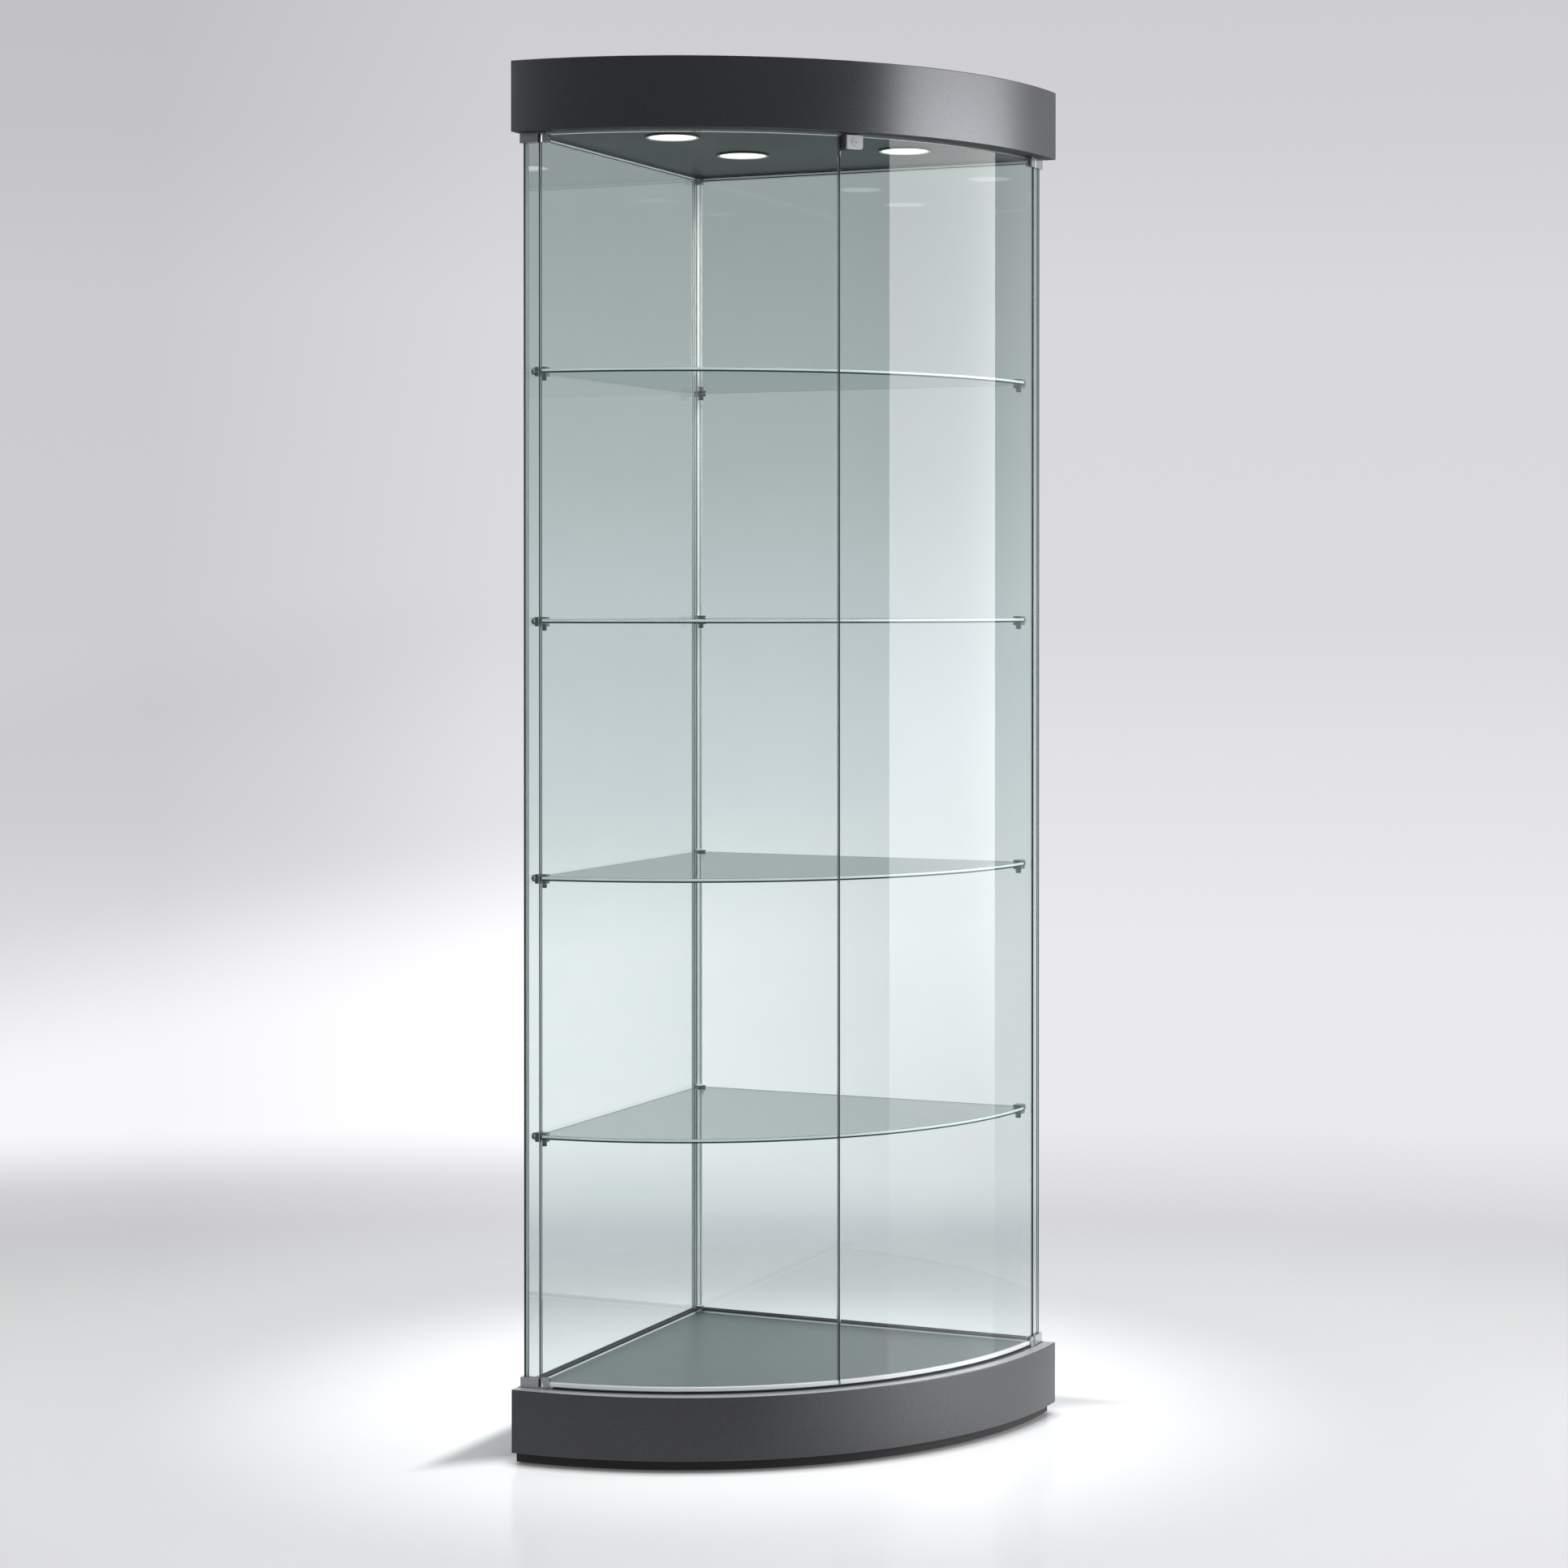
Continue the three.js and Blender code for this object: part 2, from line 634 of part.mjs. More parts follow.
const lockMiddle = -lockHeight / 2 + lockBridge;
const camFront = -glassThickness - seat;
const camBack = camFront - camThickness;
const lockBack = -glassThickness - lockDepth;
const boltFront = camBack - seat;
const boltBack = boltFront - boltThickness;
const boltBottom = lockMiddle - camPinThrow * Math.SQRT1_2 - camPinRadius - boltWidth / 4;
const camPinAngle = -halfSpan;

function lockPlaced(geometry) {
  const angle = rightDoorEnd - alongDoor(lockFromSeam - seamGap / 2 + lockWidth / 2);
  return geometry.translate(doorOuterRadius, 0, doorGlassTop).rotateZ(angle);
}

// Face plate with rounded lower corners, and the bridge that reaches back over the glass edge
function lockCase() {
  const half = lockWidth / 2;
  const low = lockBridge - lockHeight;
  const edge = lockCornerRadius;
  const roundedCorner = (y, from) => [0, 1, 2, 3, 4].map((step) => {
    const angle = from + (step * quarterTurn) / 4;
    return new THREE.Vector2(y + edge * Math.cos(angle), low + edge + edge * Math.sin(angle));
  });
  const outline = [
    new THREE.Vector2(half, lockBridge), new THREE.Vector2(-half, lockBridge),
    ...roundedCorner(edge - half, 2 * quarterTurn), ...roundedCorner(half - edge, 3 * quarterTurn),
  ];
  const plate = prism(outline, seat, lockPlate).rotateX(quarterTurn).rotateZ(quarterTurn);
  const bridge = block(lockBack, lockPlate / 2, -half, half, seat, lockBridge);
  const bore = barAlongX(-overrun, lockPlate + overrun, 0, lockMiddle, barrelRadius + seat, 32);
  return cut(joined(plate, bridge), bore, boltSlot(seat - overrun, lockBridge + overrun));
}

// Straight way for the bolt, from one level to another
function boltSlot(low, high) {
  const half = boltWidth / 2 + seat;
  return block(boltBack - seat, boltFront + seat, -half, half, low, high);
}

function lockBody() {
  const half = lockWidth / 2;
  const body = block(lockBack, camFront, -half, half, lockBridge - lockHeight, 0);
  const camWell = barAlongX(camBack - seat, 0, 0, lockMiddle, camRadius + seat, 32);
  return cut(body, camWell, boltSlot(boltBottom - seat, overrun));
}

function lockCylinder() {
  const face = lockPlate + barrelProud;
  const barrel = barAlongX(camFront - seat - overrun, face, 0, lockMiddle, barrelRadius, 32);
  const cam = barAlongX(camBack, camFront - seat, 0, lockMiddle, camRadius, 32);
  const pinY = camPinThrow * Math.cos(camPinAngle);
  const pinZ = lockMiddle + camPinThrow * Math.sin(camPinAngle);
  const pin = barAlongX(boltBack + seat, camBack + seat, pinY, pinZ, camPinRadius, 12);
  const keySlot = block(face - keySlotDepth, face + overrun, -keySlotLength / 2, keySlotLength / 2,
    lockMiddle - keySlotWidth / 2, lockMiddle + keySlotWidth / 2);
  return cut(joined(barrel, cam, pin), keySlot);
}

function lockBolt() {
  const half = boltWidth / 2;
  const bar = block(boltBack, boltFront, -half, half, boltBottom, boltBottom + boltHeight);
  const pinZ = lockMiddle + camPinThrow * Math.sin(camPinAngle);
  const clear = camPinRadius + seat;
  const slotStart = camPinThrow * Math.SQRT1_2 - clear - seat;
  const slot = block(boltBack - overrun, boltFront + overrun, slotStart, half + overrun, pinZ - clear, pinZ + clear);
  return cut(bar, slot);
}

// Pocket in the soffit that the bolt enters
function boltPocket() {
  const toSoffit = headerBottom - doorGlassTop;
  return boltSlot(toSoffit - overrun, toSoffit + boltPocketDepth);
}

function rightDoorGlass() {
  const hole = barAlongX(-glassThickness - overrun, overrun, 0, lockMiddle, barrelRadius + 2 * seat, 32);
  return cut(rightHand(doorGlass(rightDoorEnd)), rightHand(lockPlaced(hole)));
}

// Finishes: colour, roughness and metalness as the photo shows them
const finishes = {
  charcoal: { color: 0x3d3f42, roughness: 0.42, metalness: 0.25 },
  deckGrey: { color: 0x5d6466, roughness: 0.5, metalness: 0.1 },
  blackBoard: { color: 0x222325, roughness: 0.7, metalness: 0 },
  clearGlass: { color: 0xd4e6e2, roughness: 0.03, metalness: 0, transparent: true, opacity: 0.3 },
  brightAluminium: { color: 0xc9cccd, roughness: 0.18, metalness: 1 },
  brushedChrome: { color: 0xb4b6b8, roughness: 0.28, metalness: 1 },
  lampWhite: { color: 0xffffff, roughness: 0.4, metalness: 0, emissive: 0xfff4e2, emissiveIntensity: 1 },
  blackPlastic: { color: 0x17181a, roughness: 0.5, metalness: 0 },
};

function mesh(name, geometry, finish) {
  const faces = geometry.getIndex() ? geometry.toNonIndexed() : geometry;
  faces.computeVertexNormals();
  const piece = new THREE.Mesh(faces, new THREE.MeshStandardMaterial(finishes[finish]));
  piece.name = name;
  return piece;
}

function group(...pieces) {
  const whole = new THREE.Group();
  whole.add(...pieces);
  return whole;
}

// A door group stands at its pivot axis, so turning the group swings the door.
function hungDoor(axisX, axisY, ...pieces) {
  for (const piece of pieces) piece.geometry.translate(-axisX, -axisY, 0);
  const door = group(...pieces);
  door.position.set(axisX, axisY, 0);
  return door;
}

const base = group(
  mesh('plinth_board', plinthBoard(), 'blackBoard'),
  mesh('base_fascia', fascia(plinthTop + seat, deckTop), 'charcoal'),
  mesh('base_back_left', backPanel(0, plinthTop + seat, deckTop), 'charcoal'),
  mesh('base_back_right', rightHand(backPanel(boardThickness + seat, plinthTop + seat, deckTop)), 'charcoal'),
  mesh('base_deck', insideBoard(deckTop - boardThickness, deckTop), 'deckGrey'),
  ...footPlaces.map((place, i) => mesh(`levelling_foot_${i + 1}`, levellingFoot(place), 'blackPlastic')),
);

const header = group(
  mesh('header_fascia', fascia(headerBottom, totalHeight), 'charcoal'),
  mesh('header_back_left', headerBackLeft(), 'charcoal'),
  mesh('header_back_right', rightHand(backPanel(boardThickness + seat, headerBottom, totalHeight)), 'charcoal'),
  mesh('header_lid', headerLid(), 'charcoal'),
  mesh('soffit', soffit(), 'charcoal'),
  ...lampPlaces.map((place, i) => mesh(`lamp_body_${i + 1}`, lampBody(place), 'brushedChrome')),
  ...lampPlaces.map((place, i) => mesh(`lamp_lens_${i + 1}`, lampLens(place), 'lampWhite')),
  mesh('lamp_driver', lampDriver(), 'blackPlastic'),
  mesh('power_inlet', powerInlet(), 'blackPlastic'),
);

const fixedGlass = group(
  mesh('wall_glass_left', wallGlass(), 'clearGlass'),
  mesh('wall_glass_right', rightHand(wallGlass()), 'clearGlass'),
  mesh('return_glass_left', returnGlass(), 'clearGlass'),
  mesh('return_glass_right', rightHand(returnGlass()), 'clearGlass'),
  ...shelfTops.map((top, i) => mesh(`shelf_${i + 1}`, shelf(top), 'clearGlass')),
);

const fittings = group(
  mesh('corner_post', cornerPost(), 'brightAluminium'),
  mesh('channel_lower_left', wallChannel(), 'brightAluminium'),
  mesh('channel_lower_right', rightHand(wallChannel()), 'brightAluminium'),
  mesh('channel_upper_left', upturned(wallChannel()), 'brightAluminium'),
  mesh('channel_upper_right', rightHand(upturned(wallChannel())), 'brightAluminium'),
  mesh('corner_clamp_lower_left', cornerClamp(), 'brushedChrome'),
  mesh('corner_clamp_lower_right', rightHand(cornerClamp()), 'brushedChrome'),
  mesh('corner_clamp_upper_left', upturned(cornerClamp()), 'brushedChrome'),
  mesh('corner_clamp_upper_right', rightHand(upturned(cornerClamp())), 'brushedChrome'),
  ...shelfTops.map((top, i) => mesh(`shelf_clip_left_${i + 1}`, shelfClip(top), 'brushedChrome')),
  ...shelfTops.map((top, i) => mesh(`shelf_clip_right_${i + 1}`, rightHand(shelfClip(top)), 'brushedChrome')),
);

const leftDoor = hungDoor(pivotX, pivotY,
  mesh('door_glass_left', doorGlass(leftDoorEnd), 'clearGlass'),
  mesh('door_rail_left', doorRail(leftDoorEnd), 'brightAluminium'),
  mesh('pivot_shoe_lower_left', pivotShoe(), 'brushedChrome'),
  mesh('pivot_shoe_upper_left', upturned(pivotShoe()), 'brushedChrome'),
);

const rightDoor = hungDoor(pivotY, pivotX,
  mesh('door_glass_right', rightDoorGlass(), 'clearGlass'),
  mesh('door_rail_right', rightHand(doorRail(rightDoorEnd)), 'brightAluminium'),
  mesh('pivot_shoe_lower_right', rightHand(pivotShoe()), 'brushedChrome'),
  mesh('pivot_shoe_upper_right', rightHand(upturned(pivotShoe())), 'brushedChrome'),
  mesh('lock_case', rightHand(lockPlaced(lockCase())), 'brushedChrome'),
  mesh('lock_body', rightHand(lockPlaced(lockBody())), 'blackPlastic'),
  mesh('lock_cylinder', rightHand(lockPlaced(lockCylinder())), 'brushedChrome'),
  mesh('lock_bolt', rightHand(lockPlaced(lockBolt())), 'brushedChrome'),
);

// The back corner stands behind the origin, so that the footprint's box is centred on it.
const cabinet = group(base, header, fixedGlass, fittings, leftDoor, rightDoor);
cabinet.rotation.z = 2 * quarterTurn + halfSpan;
cabinet.position.y = sideLength / 2;

const model = new THREE.Group();
model.add(cabinet);

export default model;
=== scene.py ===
# Dresses the corner display cabinet: eased metal and board edges, smooth bent glass, ground glass edges,
# glazing seals, finishes, studio floor and backdrop, lamps and the camera. Metres, in the cabinet's own frame.

import json
import math

import bmesh
import bpy
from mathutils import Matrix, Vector
from mathutils.bvhtree import BVHTree


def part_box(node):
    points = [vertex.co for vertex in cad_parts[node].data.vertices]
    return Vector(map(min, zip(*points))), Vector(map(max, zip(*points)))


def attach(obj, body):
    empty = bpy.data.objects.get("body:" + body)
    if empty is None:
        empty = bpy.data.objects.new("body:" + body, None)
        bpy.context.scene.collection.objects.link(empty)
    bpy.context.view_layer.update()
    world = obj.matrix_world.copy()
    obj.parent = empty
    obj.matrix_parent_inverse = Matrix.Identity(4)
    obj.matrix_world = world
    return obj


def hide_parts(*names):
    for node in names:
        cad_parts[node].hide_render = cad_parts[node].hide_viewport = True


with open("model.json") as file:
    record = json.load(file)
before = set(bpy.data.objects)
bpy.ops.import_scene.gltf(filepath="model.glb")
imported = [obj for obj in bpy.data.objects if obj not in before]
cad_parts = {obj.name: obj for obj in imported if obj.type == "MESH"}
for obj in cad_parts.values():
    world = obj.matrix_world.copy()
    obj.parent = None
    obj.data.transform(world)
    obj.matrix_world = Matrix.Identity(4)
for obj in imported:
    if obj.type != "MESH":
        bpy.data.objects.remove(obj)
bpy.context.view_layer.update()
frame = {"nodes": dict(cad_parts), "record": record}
nodes = frame["nodes"]

# Camera: the place, direction and lens that put the cabinet's corners where the photograph has them.
IMAGE_SIDE = 1932
FOCAL_PIXELS = 4223.0
HORIZON_ROW = 770.0        # the row of the picture that the lens looks straight at
CAMERA_PLACE = Vector((-1.8212, -4.7505, 1.2151))
CAMERA_TURN = math.radians(21.359)
CAMERA_DIP = math.radians(0.39)
SENSOR = 36.0              # mm


def linear(hex_value):
    """Linear colour, with alpha 1, for an sRGB hex value."""
    channels = [((hex_value >> shift) & 255) / 255 for shift in (16, 8, 0)]
    return [c / 12.92 if c <= 0.04045 else ((c + 0.055) / 1.055) ** 2.4 for c in channels] + [1.0]


def node(tree, kind, settings=None, **links):
    """Adds a shader node. Settings are its properties or, by name or number, its inputs' values."""
    made = tree.nodes.new(kind)
    for name, value in (settings or {}).items():
        if isinstance(name, str) and hasattr(made, name):
            setattr(made, name, value)
        else:
            made.inputs[name].default_value = value
    for name, source in links.items():
        key = int(name[1:]) if name[0] == "i" and name[1:].isdigit() else name.replace("_", " ")
        tree.links.new(source, made.inputs[key])
    return made


def new_material(name):
    """A material with an empty node tree."""
    material = bpy.data.materials.new(name)
    material.use_nodes = True
    material.node_tree.nodes.clear()
    return material, material.node_tree


def finish_with(tree, surface, volume=None):
    """Ends a material in its surface and, for glass, in its tinted body."""
    out = node(tree, "ShaderNodeOutputMaterial", {}, Surface=surface)
    if volume is not None:
        tree.links.new(volume, out.inputs["Volume"])


def lacquered_board(name, colour, fleck_colour, metallic, roughness, grain=0.25):
    """Fibreboard sprayed with a satin metallic lacquer: fine bright flecks under a slightly soft, faintly
    uneven gloss, with marks where hands and cloths have rubbed it."""
    material, tree = new_material(name)
    place = node(tree, "ShaderNodeTexCoord").outputs["Object"]
    # flecks are 0.3 mm in life; drawn at about 1.4 mm so that they show
    flecks = node(tree, "ShaderNodeTexNoise", {"Scale": 700.0, "Detail": 2.0}, Vector=place)
    fleck_share = node(tree, "ShaderNodeMapRange", {"From Min": 0.35, "From Max": 0.75, "To Max": grain},
                       Value=flecks.outputs["Fac"])
    # rubbed places lie about 0.3 m apart
    clouds = node(tree, "ShaderNodeTexNoise", {"Scale": 3.0, "Detail": 3.0}, Vector=place)
    tone = node(tree, "ShaderNodeMix", {"data_type": "RGBA", 6: linear(colour), 7: linear(fleck_colour)},
                Factor=fleck_share.outputs["Result"])
    rub = node(tree, "ShaderNodeMapRange", {"From Min": 0.3, "From Max": 0.7, "To Min": roughness - 0.03,
                                            "To Max": roughness + 0.05}, Value=clouds.outputs["Fac"])
    # the sprayed skin's slight ripple, about 3 mm from crest to crest
    ripple = node(tree, "ShaderNodeTexNoise", {"Scale": 330.0, "Detail": 1.0}, Vector=place)
    bump = node(tree, "ShaderNodeBump", {"Strength": 0.06, "Distance": 0.0004}, Height=ripple.outputs["Fac"])
    skin = node(tree, "ShaderNodeBsdfPrincipled", {"Metallic": metallic},
                Base_Color=tone.outputs[2], Roughness=rub.outputs["Result"], Normal=bump.outputs["Normal"])
    finish_with(tree, skin.outputs["BSDF"])
    return material


def worked_metal(name, colour, roughness, spread, grit_mm, metallic=0.8):
    """Chromed or anodised metal: a close, even polish that is a little duller in places."""
    material, tree = new_material(name)
    place = node(tree, "ShaderNodeTexCoord").outputs["Object"]
    # the polish's grit is under 0.1 mm; drawn at about 1 mm so that it shows
    grain = node(tree, "ShaderNodeTexNoise", {"Scale": 1000.0 / grit_mm, "Detail": 2.0}, Vector=place)
    # duller places are about 17 mm across
    haze = node(tree, "ShaderNodeTexNoise", {"Scale": 60.0, "Detail": 2.0}, Vector=place)
    mixed = node(tree, "ShaderNodeMix", {"data_type": "FLOAT", 0: 0.5}, i2=grain.outputs["Fac"],
                 i3=haze.outputs["Fac"])
    gloss = node(tree, "ShaderNodeMapRange", {"From Min": 0.3, "From Max": 0.7, "To Min": roughness,
                                              "To Max": roughness + spread}, Value=mixed.outputs[0])
    bump = node(tree, "ShaderNodeBump", {"Strength": 0.004, "Distance": 0.0002}, Height=grain.outputs["Fac"])
    skin = node(tree, "ShaderNodeBsdfPrincipled", {"Base Color": linear(colour), "Metallic": metallic},
                Roughness=gloss.outputs["Result"], Normal=bump.outputs["Normal"])
    finish_with(tree, skin.outputs["BSDF"])
    return material


def moulded(name, colour, pale_colour, roughness, grain_mm, strength=0.1):
    """Moulded plastic or matt painted board, with a fine sparked texture and slight shifts of tone."""
    material, tree = new_material(name)
    place = node(tree, "ShaderNodeTexCoord").outputs["Object"]
    # the texture's grains are about 0.3 mm; drawn at 1 mm and more so that they show
    grain = node(tree, "ShaderNodeTexNoise", {"Scale": 1000.0 / grain_mm, "Detail": 2.0}, Vector=place)
    # shifts of tone are about 170 mm long
    clouds = node(tree, "ShaderNodeTexNoise", {"Scale": 6.0, "Detail": 4.0}, Vector=place)
    tone = node(tree, "ShaderNodeMix", {"data_type": "RGBA", 6: linear(colour), 7: linear(pale_colour)},
                Factor=clouds.outputs["Fac"])
    bump = node(tree, "ShaderNodeBump", {"Strength": strength, "Distance": 0.0003}, Height=grain.outputs["Fac"])
    rub = node(tree, "ShaderNodeMapRange", {"From Min": 0.3, "From Max": 0.7, "To Min": roughness - 0.04,
                                            "To Max": roughness + 0.06}, Value=clouds.outputs["Fac"])
    skin = node(tree, "ShaderNodeBsdfPrincipled", {}, Base_Color=tone.outputs[2],
                Roughness=rub.outputs["Result"], Normal=bump.outputs["Normal"])
    finish_with(tree, skin.outputs["BSDF"])
    return material


def float_glass(name, tint, density):
    """Clear float glass: faintly green through its face and deep teal through its edges. Lamp rays pass it."""
    material, tree = new_material(name)
    place = node(tree, "ShaderNodeTexCoord").outputs["Object"]
    # wiped marks, about 70 mm across, that hold back a trace of light
    smear = node(tree, "ShaderNodeTexNoise", {"Scale": 14.0, "Detail": 3.0}, Vector=place)
    wiped = node(tree, "ShaderNodeMix", {"data_type": "RGBA", 6: linear(0xF8FBFB), 7: linear(0xF4F8F8)},
                 Factor=smear.outputs["Fac"])
    pane = node(tree, "ShaderNodeBsdfPrincipled", {"Roughness": 0.0, "Transmission Weight": 1.0, "IOR": 1.5},
                Base_Color=wiped.outputs[2])
    clear = node(tree, "ShaderNodeBsdfTransparent", {"Color": linear(0xF8FBFA)})
    path = node(tree, "ShaderNodeLightPath")
    both = node(tree, "ShaderNodeMixShader", {}, i0=path.outputs["Is Shadow Ray"], i1=pane.outputs["BSDF"],
                i2=clear.outputs["BSDF"])
    body = node(tree, "ShaderNodeVolumeAbsorption", {"Color": linear(tint), "Density": density})
    finish_with(tree, both.outputs["Shader"], body.outputs["Volume"])
    return material


def ground_edge(name, colour, pale_colour, roughness):
    """Edge of float glass, cut and ground, under a fine even grind. Its colour is painted light and shade: the
    dark edges take a dark teal, painted shade together with the teal light that runs along inside the sheet and
    comes out there; the pale edges take a painted highlight."""
    material, tree = new_material(name)
    place = node(tree, "ShaderNodeTexCoord").outputs["Object"]
    # the wheel's marks lie about 0.4 mm apart; drawn at 2 mm so that they show
    marks = node(tree, "ShaderNodeTexNoise", {"Scale": 500.0, "Detail": 2.0}, Vector=place)
    # the teal drifts over about 0.1 m
    drift = node(tree, "ShaderNodeTexNoise", {"Scale": 9.0, "Detail": 2.0}, Vector=place)
    tone = node(tree, "ShaderNodeMix", {"data_type": "RGBA", 6: linear(colour), 7: linear(pale_colour)},
                Factor=drift.outputs["Fac"])
    bump = node(tree, "ShaderNodeBump", {"Strength": 0.05, "Distance": 0.0002}, Height=marks.outputs["Fac"])
    gloss = node(tree, "ShaderNodeMapRange", {"From Min": 0.3, "From Max": 0.7, "To Min": roughness,
                                              "To Max": roughness + 0.08}, Value=marks.outputs["Fac"])
    skin = node(tree, "ShaderNodeBsdfPrincipled", {"IOR": 1.5}, Base_Color=tone.outputs[2],
                Roughness=gloss.outputs["Result"], Normal=bump.outputs["Normal"])
    finish_with(tree, skin.outputs["BSDF"])
    return material


def lit_lens(name, colour, strength):
    """Moulded opal lens over a lamp: an even, faintly mottled warm white."""
    material, tree = new_material(name)
    skin = node(tree, "ShaderNodeBsdfPrincipled", {"Base Color": linear(colour), "Roughness": 0.4,
                                                   "Emission Strength": strength})
    place = node(tree, "ShaderNodeTexCoord").outputs["Object"]
    # mottle of the opal, about 8 mm across
    mottle = node(tree, "ShaderNodeTexNoise", {"Scale": 120.0, "Detail": 1.0}, Vector=place)
    tone = node(tree, "ShaderNodeMix", {"data_type": "RGBA", 6: linear(0xFFF6E8), 7: linear(0xFFFFFF)},
                Factor=mottle.outputs["Fac"])
    tree.links.new(tone.outputs[2], skin.inputs["Emission Color"])
    finish_with(tree, skin.outputs["BSDF"])
    return material


finishes = {
    "charcoal_board": lacquered_board("satin_charcoal_metallic_lacquer", 0x696A6D, 0x97999C, 0.9, 0.29),
    "deck_board": lacquered_board("smooth_grey_laminate", 0x5E6567, 0x7E8386, 0.0, 0.34, 0.4),
    # the soffit's charcoal is darker than the board's: painted shade for its place under the cabinet's top
    "soffit_board": lacquered_board("charcoal_soffit_painted_shade", 0x232627, 0x373B3C, 0.0, 0.4, 0.4),
    "plinth_board": moulded("matt_black_plinth_paint", 0x1D1E1F, 0x2A2B2C, 0.55, 1.5),
    "clear_glass": float_glass("clear_toughened_float_glass", 0xA9D8CE, 3.5),
    # light silver of the aluminium, made near white and mostly plain so that it shows bright: partly painted
    # sheen
    "bright_aluminium": worked_metal("anodised_aluminium_painted_bright", 0xF6F7F8, 0.2, 0.05, 1.2, metallic=0.2),
    "chromed_fitting": worked_metal("chromed_zinc_casting", 0xC8CACC, 0.12, 0.06, 1.0, metallic=0.75),
    "lamp_metal": worked_metal("satin_turned_aluminium", 0xCCCCCA, 0.26, 0.08, 1.2),
    "lamp_lens": lit_lens("lit_opal_lens", 0xF4F2EC, 1.5),
    "black_plastic": moulded("sparked_black_plastic", 0x17181A, 0x222325, 0.45, 1.0, 0.2),
}
# a light grey copy of the charcoal lacquer for the base's top edge: painted light
ledge_lacquer_painted_light = lacquered_board("charcoal_lacquer_painted_light_on_the_ledge", 0xC6C7CA, 0xDCDDE0, 0.5, 0.3)
# pale, mostly plain chrome for the lock: painted highlight in place of its reflections
lock_chrome_painted_bright = worked_metal("satin_chrome_painted_bright_on_the_lock_case", 0xECEEF0, 0.2, 0.05, 1.0, metallic=0.3)
clip_chrome = worked_metal("mirror_chrome_on_the_shelf_clips", 0xA6A8AA, 0.08, 0.05, 1.0, metallic=0.9)
# dark teal for the cut edges: partly painted shade
dark_edge = ground_edge("ground_glass_edge_with_painted_shade", 0x213331, 0x2F4341, 0.3)
# pale for the polished edges: a painted highlight
pale_highlight_edge = ground_edge("polished_glass_edge_with_painted_highlight", 0xE4F2F2, 0xF2FAFA, 0.12)
slots = {part["node"]: part["material_slot"] for part in frame["record"]["subparts"]}
body_of = {name: body for body, names in frame["record"]["behaviour"]["bodies"].items() for name in names}


def finish_of(name):
    """The main finish of a node: its slot's, unless the piece needs one of its own. The lock's bright chrome is
    painted light, and the soffit's darker board is painted shade.
    """
    if name.startswith("shelf_clip"):
        return clip_chrome
    if name in ("lock_case", "lock_cylinder"):
        return lock_chrome_painted_bright
    return finishes["soffit_board" if name == "soffit" else slots[name]]


APEX = Vector((0.0, 0.3, 0.0))   # the back corner, on which the bent glass and its rails are centred
GLASS = 0.006                    # thickness of every sheet
JUST_INSIDE = 0.00005            # where a sheet is probed for what lies behind a face
CUT_DEPTH = 2.2 * GLASS          # with more glass than this behind it, a face is a cut edge
FACES_FRONT = -0.25              # a face looks to the front when its normal's Y is under this
UPRIGHT = 0.3                    # a face stands upright when its normal's Z, either way, is under this
LEVEL = 0.99                     # and lies level when it is over this
EDGE_LEVEL = 0.8                 # a board's edge looks up or down when its normal's Z is over this
ARRIS = 0.0011                   # dark border round the painted highlight down an upright edge
DARK_BAND = 0.0021               # dark lower part of a shelf's front edge, under its painted highlight
SEAL_SHARE = 0.28                # of a bar's width: from either side to the seal, or the seal itself
BAR_LENGTH = 0.3                 # a drawn bar's faces are longer than this,
BAR_WIDTH = 0.002                # and wider than this
BRIGHT_SHARE = 0.45              # of a lower channel's height: what shows as bright metal
BRACKET_HEIGHT = 0.03            # faces of the post's brackets are lower than this
# inside this reach the trim is bright metal; outside it the rim is painted black, painted shade
TRIM_BRIGHT_RADIUS = 0.0372
RAIL_GRIP = 0.0022               # how deep the doors' rails hold the glass
RAIL_ROUNDING = 0.0009
RAIL_STEPS = 48
DUST_SEAL = (0.571, 0.577, 0.106, 0.108)   # reach from the back corner, then height, each from and to
DUST_SEAL_TURN = math.radians(39.8)        # to either side
DUST_SEAL_ROUNDING = 0.0005
GRIP_WIDTH, GRIP_DEPTH = 0.0066, 0.0042
GRIP_SETBACK = 0.0006            # behind the front of the lock's case
GRIP_SHORTER = 0.001             # than the lock's case
GRIP_ROUNDING = 0.0007
SAME_POINT = 0.00002             # corners closer than this are one
FLAT_ANGLE = math.radians(0.4)   # faces closer in angle than this are one
SHARP_ANGLE = math.radians(25)   # edges sharper than this are eased
CREASE_ANGLE = math.radians(50)  # and those sharper than this are shaded as creases


